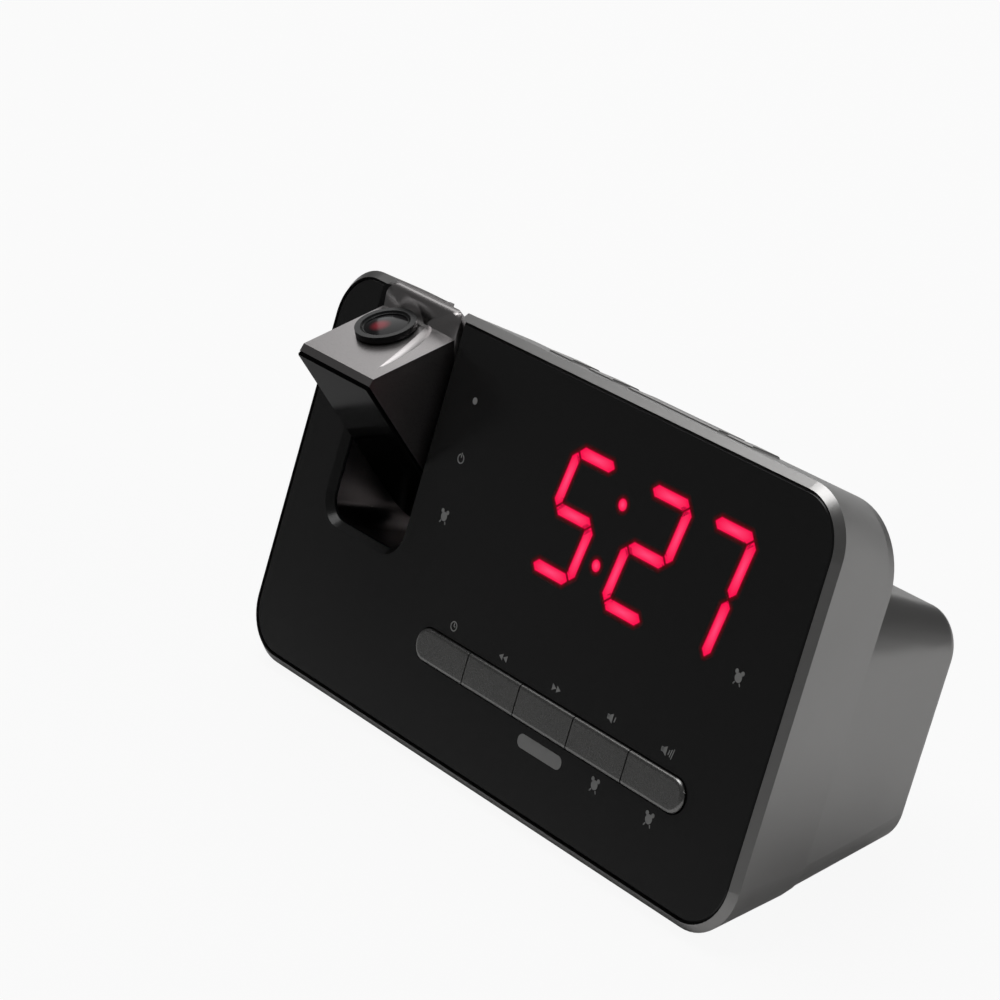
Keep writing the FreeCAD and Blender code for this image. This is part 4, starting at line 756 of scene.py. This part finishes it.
@dataclass
class PanelPrint:
    """Small generic symbols printed on the panel beside the keys and the display."""

    stroke: float = 0.28
    symbol: float = 1.5
    pill: tuple[float, float] = (15.8, 3.2)
    lift: float = 0.005

    def places(self) -> dict[str, tuple[Symbol, float, float]]:
        """Name, kind and centre of each printed symbol."""
        return {
            "afternoon_mark": (Symbol.LAMP, -31.2, 32.1),
            "power_mark": (Symbol.POWER, -30.4, 18.4),
            "left_alarm_mark": (Symbol.BELL, -30.5, 4.3),
            "right_alarm_mark": (Symbol.BELL, 74.2, 5.1),
            "memory_mark": (Symbol.DIAL, -16.5, -17.5),
            "rewind_mark": (Symbol.BACK, 2.8, -17.8),
            "forward_mark": (Symbol.FORWARD, 22.0, -17.7),
            "quiet_mark": (Symbol.QUIET, 41.6, -16.9),
            "loud_mark": (Symbol.LOUD, 60.1, -16.9),
            "source_mark": (Symbol.PILL, 22.7, -32.4),
            "first_alarm_mark": (Symbol.BELL, 42.4, -32.2),
            "second_alarm_mark": (Symbol.BELL, 61.2, -32.2),
        }

    def draw(self, kind: Symbol, x: float, y: float) -> list[bpy.types.Object]:
        """Draw one symbol from bars, discs, rings and triangles.

        Args:
            kind: Which symbol.
            x: Centre across.
            y: Centre up.

        Returns:
            The shapes, not yet joined.
        """
        pen = SheetDrawing()
        s = self.symbol
        w = self.stroke
        if kind is Symbol.LAMP:
            return [pen.disc(x, y, 0.55 * s)]
        if kind is Symbol.POWER:
            return [pen.ring(x, y, 0.8 * s, w, gap=0.28 * s), pen.bar(x, y + 0.55 * s, 0.8 * s, w, 90)]
        if kind is Symbol.DIAL:
            hands = [pen.bar(x, y + 0.22 * s, 0.5 * s, w, 90), pen.bar(x + 0.18 * s, y, 0.4 * s, w, 0)]
            return [pen.ring(x, y, 0.8 * s, w), *hands]
        if kind is Symbol.BELL:
            bells = [pen.disc(x + side * 0.62 * s, y + 0.78 * s, 0.34 * s) for side in (-1, 1)]
            legs = [
                pen.bar(x + side * 0.6 * s, y - 0.9 * s, 0.5 * s, w, angle)
                for side, angle in ((-1, 60), (1, 120))
            ]
            return [pen.disc(x, y, 0.72 * s), *bells, *legs]
        if kind is Symbol.BACK:
            return [pen.wedge(x - 0.55 * s, y, 0.6 * s, 180), pen.wedge(x + 0.5 * s, y, 0.6 * s, 180)]
        if kind is Symbol.FORWARD:
            return [pen.wedge(x - 0.5 * s, y, 0.6 * s, 0), pen.wedge(x + 0.55 * s, y, 0.6 * s, 0)]
        if kind is Symbol.PILL:
            return [pen.pill(x, y, *self.pill)]
        horn = [pen.bar(x - 0.7 * s, y, 0.5 * s, 0.7 * s), pen.wedge(x - 0.2 * s, y, 0.85 * s, 180)]
        waves = [pen.bar(x + 0.75 * s, y, 0.8 * s, w, 80)]
        if kind is Symbol.LOUD:
            waves += [pen.bar(x + 1.15 * s, y, 1.2 * s, w, 80), pen.bar(x + 1.55 * s, y, 1.6 * s, w, 80)]
        return horn + waves

    def build(self, panel: PanelFrame) -> list[bpy.types.Object]:
        """Draw every symbol and lay it on the panel.

        Args:
            panel: Frame of the panel.

        Returns:
            The printed pieces.
        """
        pen = SheetDrawing()
        made = []
        for name, (kind, x, y) in self.places().items():
            piece = pen.lay(name, self.draw(kind, x, y), panel.sheet(self.lift))
            made.append(dress(piece, PRINT_INK, HOUSING))
        return made


@dataclass
class ProjectorTrim:
    """Formed shell, cove, ridge, front glass and lens retainer of the open projector head."""

    pivot_depth: float = 10.5
    pivot_height: float = 16.15
    head_open: float = 50.8
    plate_slope: float = 19.9
    band_y: float = 2.8
    band_z: float = 48.87
    lens_x: float = -62.0
    lens_along: float = 16.3
    retainer_radius: float = 5.45
    retainer_tube: float = 0.2
    retainer_height: float = 1.3
    glass_radius: float = 5.3
    glass_seat: float = 1.1
    glass_rise: float = 0.45
    glass_edge: float = 0.1
    glass_steps: int = 8
    ridge_height: float = 0.9
    ridge_width: float = 1.8
    ridge_outer: float = 2.4
    ridge_inner: float = 0.6
    ridge_foot: float = -0.05
    hump_share: float = 0.7
    hump_start: float = 22.9
    cove_left: float = -72.6
    cove_right: float = -44.9
    cove_start: float = 22.6
    cove_run: float = 3.4
    cove_ends: float = 5.0
    cove_steps: int = 28
    cove_rows: int = 8
    cove_foot: float = -0.3
    cove_heel: float = 0.2
    cove_skin: float = 0.02
    cove_low_end: float = 0.06
    hump_height: float = 7.2
    hump_clear: float = 0.12

    def plate(self, panel: PanelFrame) -> Matrix:
        """Frame of the open lens plate: X across, Y back along the plate, Z out of it.

        Args:
            panel: Frame of the panel.

        Returns:
            The matrix from millimetres on the plate to metres in the clock's frame.
        """
        pivot = Vector((0.0, self.pivot_depth, self.pivot_height))
        opened = (
            Matrix.Translation(pivot)
            @ Matrix.Rotation(math.radians(self.head_open), 4, "X")
            @ Matrix.Translation(-pivot)
        )
        corner = Matrix.Translation((0.0, self.band_y, self.band_z))
        return panel.place() @ opened @ corner @ Matrix.Rotation(math.radians(-self.plate_slope), 4, "X")

    def ridge_points(self) -> list[tuple[float, float]]:
        """Crest of the ridge that curls round the lens, in millimetres on the plate."""
        start = Vector((-47.8, 3.6))
        bend = Vector((-51.0, 19.5))
        end = Vector((-56.5, 25.2))
        count = 18
        points = []
        for i in range(count + 1):
            t = i / count
            point = start * (1 - t) ** 2 + bend * 2 * t * (1 - t) + end * t ** 2
            points.append((point.x, point.y))
        return points

    def build_ridge(self, panel: PanelFrame) -> bpy.types.Object:
        """Extrude the ridge's foot along its crest, with a sharp top that dies out at both ends."""
        points = self.ridge_points()
        deselect()
        bpy.ops.mesh.primitive_plane_add(size=1.0, location=(0.0, 0.0, 0.0))
        ridge = bpy.context.object
        mesh = bmesh.new()
        rows = []
        for i, (x, y) in enumerate(points):
            ahead = Vector(points[min(i + 1, len(points) - 1)]) - Vector(points[max(i - 1, 0)])
            across = Vector((-ahead.y, ahead.x)).normalized()
            swell = math.sin(math.pi * min(1.0, (i + 0.02) / (len(points) - 0.9))) ** 0.7
            high = self.ridge_height * swell
            half = self.ridge_width * swell / 2 + 0.02
            wide, narrow = half * self.ridge_outer, half * self.ridge_inner
            outer = (x - across.x * wide, y - across.y * wide, self.ridge_foot)
            inner = (x + across.x * narrow, y + across.y * narrow, self.ridge_foot)
            rows.append([mesh.verts.new(v) for v in (outer, (x, y, high), inner)])
        for a, b in zip(rows, rows[1:]):
            mesh.faces.new((a[0], b[0], b[1], a[1]))
            mesh.faces.new((a[1], b[1], b[2], a[2]))
            mesh.faces.new((a[2], b[2], b[0], a[0]))
        mesh.faces.new((rows[0][0], rows[0][1], rows[0][2]))
        mesh.faces.new((rows[-1][2], rows[-1][1], rows[-1][0]))
        bmesh.ops.recalc_face_normals(mesh, faces=list(mesh.faces))
        mesh.to_mesh(ridge.data)
        mesh.free()
        ridge.name = "plate_ridge"
        apply_modifier(ridge, "BEVEL", "soft_crest", width=0.12, segments=2, limit_method="ANGLE")
        bpy.ops.object.shade_smooth_by_angle(angle=math.radians(35))
        apply_place(ridge, self.plate(panel))
        return dress(ridge, SILVER_HEAD, HEAD)

    def build_shell(self, panel: PanelFrame, solid: bpy.types.Object) -> bpy.types.Object:
        """Form the head shell from its solid, with the lower hump of the real one.

        Args:
            panel: Frame of the panel.
            solid: The head shell's solid.

        Returns:
            The formed shell.
        """
        shell = bpy.data.objects.new("head_shell_formed", solid.data.copy())
        bpy.context.collection.objects.link(shell)
        plate = self.plate(panel)
        back = plate.inverted()
        mesh = bmesh.new()
        mesh.from_mesh(shell.data)
        bmesh.ops.remove_doubles(mesh, verts=list(mesh.verts), dist=1e-6)
        for vertex in mesh.verts:
            spot = back @ vertex.co
            if spot.y > self.hump_start and spot.z > 0.05:
                spot.z *= self.hump_share
                vertex.co = plate @ spot
        mesh.to_mesh(shell.data)
        mesh.free()
        deselect()
        shell.select_set(True)
        bpy.context.view_layer.objects.active = shell
        bpy.ops.object.shade_smooth_by_angle(angle=math.radians(30))
        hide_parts("head_shell")
        return dress(shell, SILVER_HEAD, HEAD)

    def build_cove(self, panel: PanelFrame) -> bpy.types.Object:
        """Cove that sweeps from the lens plate up to the top of the hump."""
        deselect()
        bpy.ops.mesh.primitive_plane_add(size=1.0, location=(0.0, 0.0, 0.0))
        cove = bpy.context.object
        cove.name = "hump_cove"
        mesh = bmesh.new()
        top = self.hump_height * self.hump_share - self.hump_clear
        rows = []
        for i in range(self.cove_steps + 1):
            x = self.cove_left + (self.cove_right - self.cove_left) * i / self.cove_steps
            inward = min(1.0, min(x - self.cove_left, self.cove_right - x) / self.cove_ends)
            rise = self.cove_low_end + (1 - self.cove_low_end) * inward * inward * (3 - 2 * inward)
            row = [mesh.verts.new((x, self.cove_start, self.cove_foot))]
            for j in range(self.cove_rows + 1):
                angle = math.radians(90 * j / self.cove_rows)
                y = self.cove_start + self.cove_run * math.sin(angle)
                row.append(mesh.verts.new((x, y, self.cove_skin + top * rise * (1 - math.cos(angle)))))
            row.append(mesh.verts.new((x, self.cove_start + self.cove_run + self.cove_heel, self.cove_foot)))
            rows.append(row)
        for low, high in zip(rows, rows[1:]):
            for j in range(len(low)):
                k = (j + 1) % len(low)
                mesh.faces.new((low[j], low[k], high[k], high[j]))
        mesh.faces.new(rows[0])
        mesh.faces.new(list(reversed(rows[-1])))
        bmesh.ops.recalc_face_normals(mesh, faces=list(mesh.faces))
        mesh.to_mesh(cove.data)
        mesh.free()
        bpy.ops.object.shade_smooth_by_angle(angle=math.radians(35))
        apply_place(cove, self.plate(panel))
        return dress(cove, SILVER_HEAD, HEAD)

    def build_front_glass(self, panel: PanelFrame) -> bpy.types.Object:
        """Turn the shallow dome of the front glass about the lens axis."""
        steps = self.glass_steps
        mesh = bmesh.new()
        profile = [(0.0, self.glass_seat)]
        for i in range(steps + 1):
            reach = self.glass_radius * (steps - i) / steps
            dome = self.glass_rise * (1 - (reach / self.glass_radius) ** 2)
            profile.append((reach, self.glass_seat + self.glass_edge + dome))
        verts = [mesh.verts.new((x, 0.0, z)) for x, z in profile]
        edges = [mesh.edges.new(pair) for pair in zip(verts, verts[1:])]
        bmesh.ops.spin(
            mesh, geom=verts + edges, axis=(0.0, 0.0, 1.0), cent=(0.0, 0.0, 0.0), angle=2 * math.pi, steps=64,
            use_merge=True,
        )
        bmesh.ops.remove_doubles(mesh, verts=list(mesh.verts), dist=1e-4)
        bmesh.ops.recalc_face_normals(mesh, faces=list(mesh.faces))
        deselect()
        bpy.ops.mesh.primitive_plane_add(size=1.0, location=(0.0, 0.0, 0.0))
        glass = bpy.context.object
        glass.name = "lens_front"
        mesh.to_mesh(glass.data)
        mesh.free()
        bpy.ops.object.shade_smooth_by_angle(angle=math.radians(40))
        apply_place(glass, self.plate(panel) @ Matrix.Translation((self.lens_x, self.lens_along, 0.0)))
        return dress(glass, LENS_FRONT, RING)

    def build_retainer(self, panel: PanelFrame) -> bpy.types.Object:
        """Thin black retaining ring that holds the lens in the focus ring."""
        deselect()
        bpy.ops.mesh.primitive_torus_add(
            major_radius=self.retainer_radius,
            minor_radius=self.retainer_tube,
            major_segments=64,
            minor_segments=12,
            location=(self.lens_x, self.lens_along, self.retainer_height),
        )
        ring = bpy.context.object
        ring.name = "lens_retainer"
        bpy.ops.object.shade_smooth()
        apply_place(ring, self.plate(panel))
        return dress(ring, BLACK_RING, RING)


@dataclass
class CaseSolids:
    """The clock's own solids, each given the finish of its real piece."""

    finishes: dict[str, Finish | Glass | LensFront | Light]

    def dress_all(self, nodes: dict[str, bpy.types.Object]) -> None:
        """Replace the plain materials of every solid.

        Args:
            nodes: The frame's solids by name.
        """
        for name, solid in nodes.items():
            finish = self.finishes[name]
            solid.data.materials.clear()
            solid.data.materials.append(finish.material())
            LOG.info("%s has finish %s", name, finish.name)


@dataclass
class Studio:
    """Camera at the taking angle, pale floor, white surround and soft lamps."""

    focal_length: float = 122.4
    sensor: float = 36.0
    camera_place: tuple[float, float, float] = (552.9, -497.3, 162.7)
    camera_right: tuple[float, float, float] = (0.593456, 0.757060, 0.273257)
    camera_forward: tuple[float, float, float] = (-0.737081, 0.647568, -0.193306)
    floor_size: float = 12.0
    floor_share: float = 0.92
    surround_level: float = 0.09

    def add_camera(self, panel: PanelFrame) -> bpy.types.Object:
        """Place the camera, whose two directions are given in the panel's frame.

        Args:
            panel: Frame of the panel.

        Returns:
            The camera.
        """
        lean = panel.place().to_3x3().normalized()
        backward = -(lean @ Vector(self.camera_forward)).normalized()
        right = lean @ Vector(self.camera_right)
        right = (right - backward * right.dot(backward)).normalized()
        axes = [right, backward.cross(right), backward]
        data = bpy.data.cameras.new("photo_camera")
        data.lens = self.focal_length
        data.sensor_width = self.sensor
        data.clip_start = 0.05
        data.clip_end = 50.0
        camera = bpy.data.objects.new("photo_camera", data)
        bpy.context.collection.objects.link(camera)
        pose = Matrix([[axes[c][r] for c in range(3)] for r in range(3)]).to_4x4()
        pose.translation = panel.place() @ Vector(self.camera_place)
        camera.matrix_world = pose
        bpy.context.scene.camera = camera
        return camera

    def floor_material(self) -> bpy.types.Material:
        """Pale matte floor that keeps the clock's soft shadow."""
        material = bpy.data.materials.new("pale_floor")
        material.use_nodes = True
        nodes, links = material.node_tree.nodes, material.node_tree.links
        matte = nodes["Principled BSDF"]
        matte.inputs["Base Color"].default_value = (0.86, 0.86, 0.86, 1.0)
        matte.inputs["Roughness"].default_value = 0.9
        matte.inputs["Specular IOR Level"].default_value = 0.1
        bright = nodes.new("ShaderNodeEmission")
        bright.inputs["Color"].default_value = (1.0, 1.0, 1.0, 1.0)
        bright.inputs["Strength"].default_value = 1.0
        ray = nodes.new("ShaderNodeLightPath")
        share = nodes.new("ShaderNodeMath")
        share.operation = "MULTIPLY"
        share.inputs[1].default_value = self.floor_share
        mix = nodes.new("ShaderNodeMixShader")
        links.new(ray.outputs["Is Camera Ray"], share.inputs[0])
        links.new(share.outputs["Value"], mix.inputs["Fac"])
        links.new(matte.outputs["BSDF"], mix.inputs[1])
        links.new(bright.outputs["Emission"], mix.inputs[2])
        links.new(mix.outputs["Shader"], nodes["Material Output"].inputs["Surface"])
        return material

    def add_floor(self) -> bpy.types.Object:
        """Floor that the clock stands on."""
        deselect()
        bpy.ops.mesh.primitive_plane_add(size=self.floor_size, location=(0.0, 0.0, -0.0002))
        floor = bpy.context.object
        floor.name = "studio_floor"
        floor.data.materials.append(self.floor_material())
        return floor

    def set_world(self) -> None:
        """White surround for the camera and for glass, and a plain grey level of light."""
        world = bpy.data.worlds.new("studio_surround")
        bpy.context.scene.world = world
        world.use_nodes = True
        nodes, links = world.node_tree.nodes, world.node_tree.links
        background = nodes["Background"]
        background.inputs["Color"].default_value = (1.0, 1.0, 1.0, 1.0)
        ray = nodes.new("ShaderNodeLightPath")
        seen = nodes.new("ShaderNodeMath")
        seen.operation = "MAXIMUM"
        links.new(ray.outputs["Is Camera Ray"], seen.inputs[0])
        links.new(ray.outputs["Is Transmission Ray"], seen.inputs[1])
        level = nodes.new("ShaderNodeMapRange")
        level.inputs["To Min"].default_value = self.surround_level
        level.inputs["To Max"].default_value = 1.0
        links.new(seen.outputs["Value"], level.inputs["Value"])
        links.new(level.outputs["Result"], background.inputs["Strength"])

    def add_lamp(
        self, name: str, place: tuple[float, float, float], size: float, power: float
    ) -> bpy.types.Object:
        """Add a square soft lamp that faces the clock.

        Args:
            name: Name of the lamp.
            place: Where it hangs, in metres.
            size: Width of the lamp in metres.
            power: Strength in watts.

        Returns:
            The lamp.
        """
        data = bpy.data.lights.new(name, "AREA")
        data.size = size
        data.energy = power
        lamp = bpy.data.objects.new(name, data)
        bpy.context.collection.objects.link(lamp)
        lamp.location = place
        aim = Vector((0.0, 0.0, 0.05)) - Vector(place)
        lamp.rotation_euler = aim.to_track_quat("-Z", "Y").to_euler()
        return lamp

    def build(self, panel: PanelFrame) -> None:
        """Set the view transform, camera, floor, surround and lamps."""
        bpy.context.scene.view_settings.view_transform = "Standard"
        self.add_camera(panel)
        self.add_floor()
        self.set_world()
        self.add_lamp("key_lamp", (-0.3, 0.15, 1.1), 0.7, 4.4)
        self.add_lamp("side_lamp", (1.1, 0.5, 0.6), 0.5, 2.9)
        self.add_lamp("back_lamp", (-0.75, 0.75, 0.75), 0.9, 2.4)
        LOG.info("studio ready")


def main() -> None:
    """Build the clock over its frame and report each piece."""
    logging.basicConfig(level=logging.INFO, format="%(message)s")
    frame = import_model()
    panel = PanelFrame()
    Studio().build(panel)
    CaseSolids(NODE_FINISHES).dress_all(frame["nodes"])
    LitDigits().build(panel)
    PanelPrint().build(panel)
    trim = ProjectorTrim()
    trim.build_shell(panel, frame["nodes"]["head_shell"])
    trim.build_cove(panel)
    trim.build_ridge(panel)
    trim.build_front_glass(panel)
    trim.build_retainer(panel)


if __name__ == "__main__":
    main()
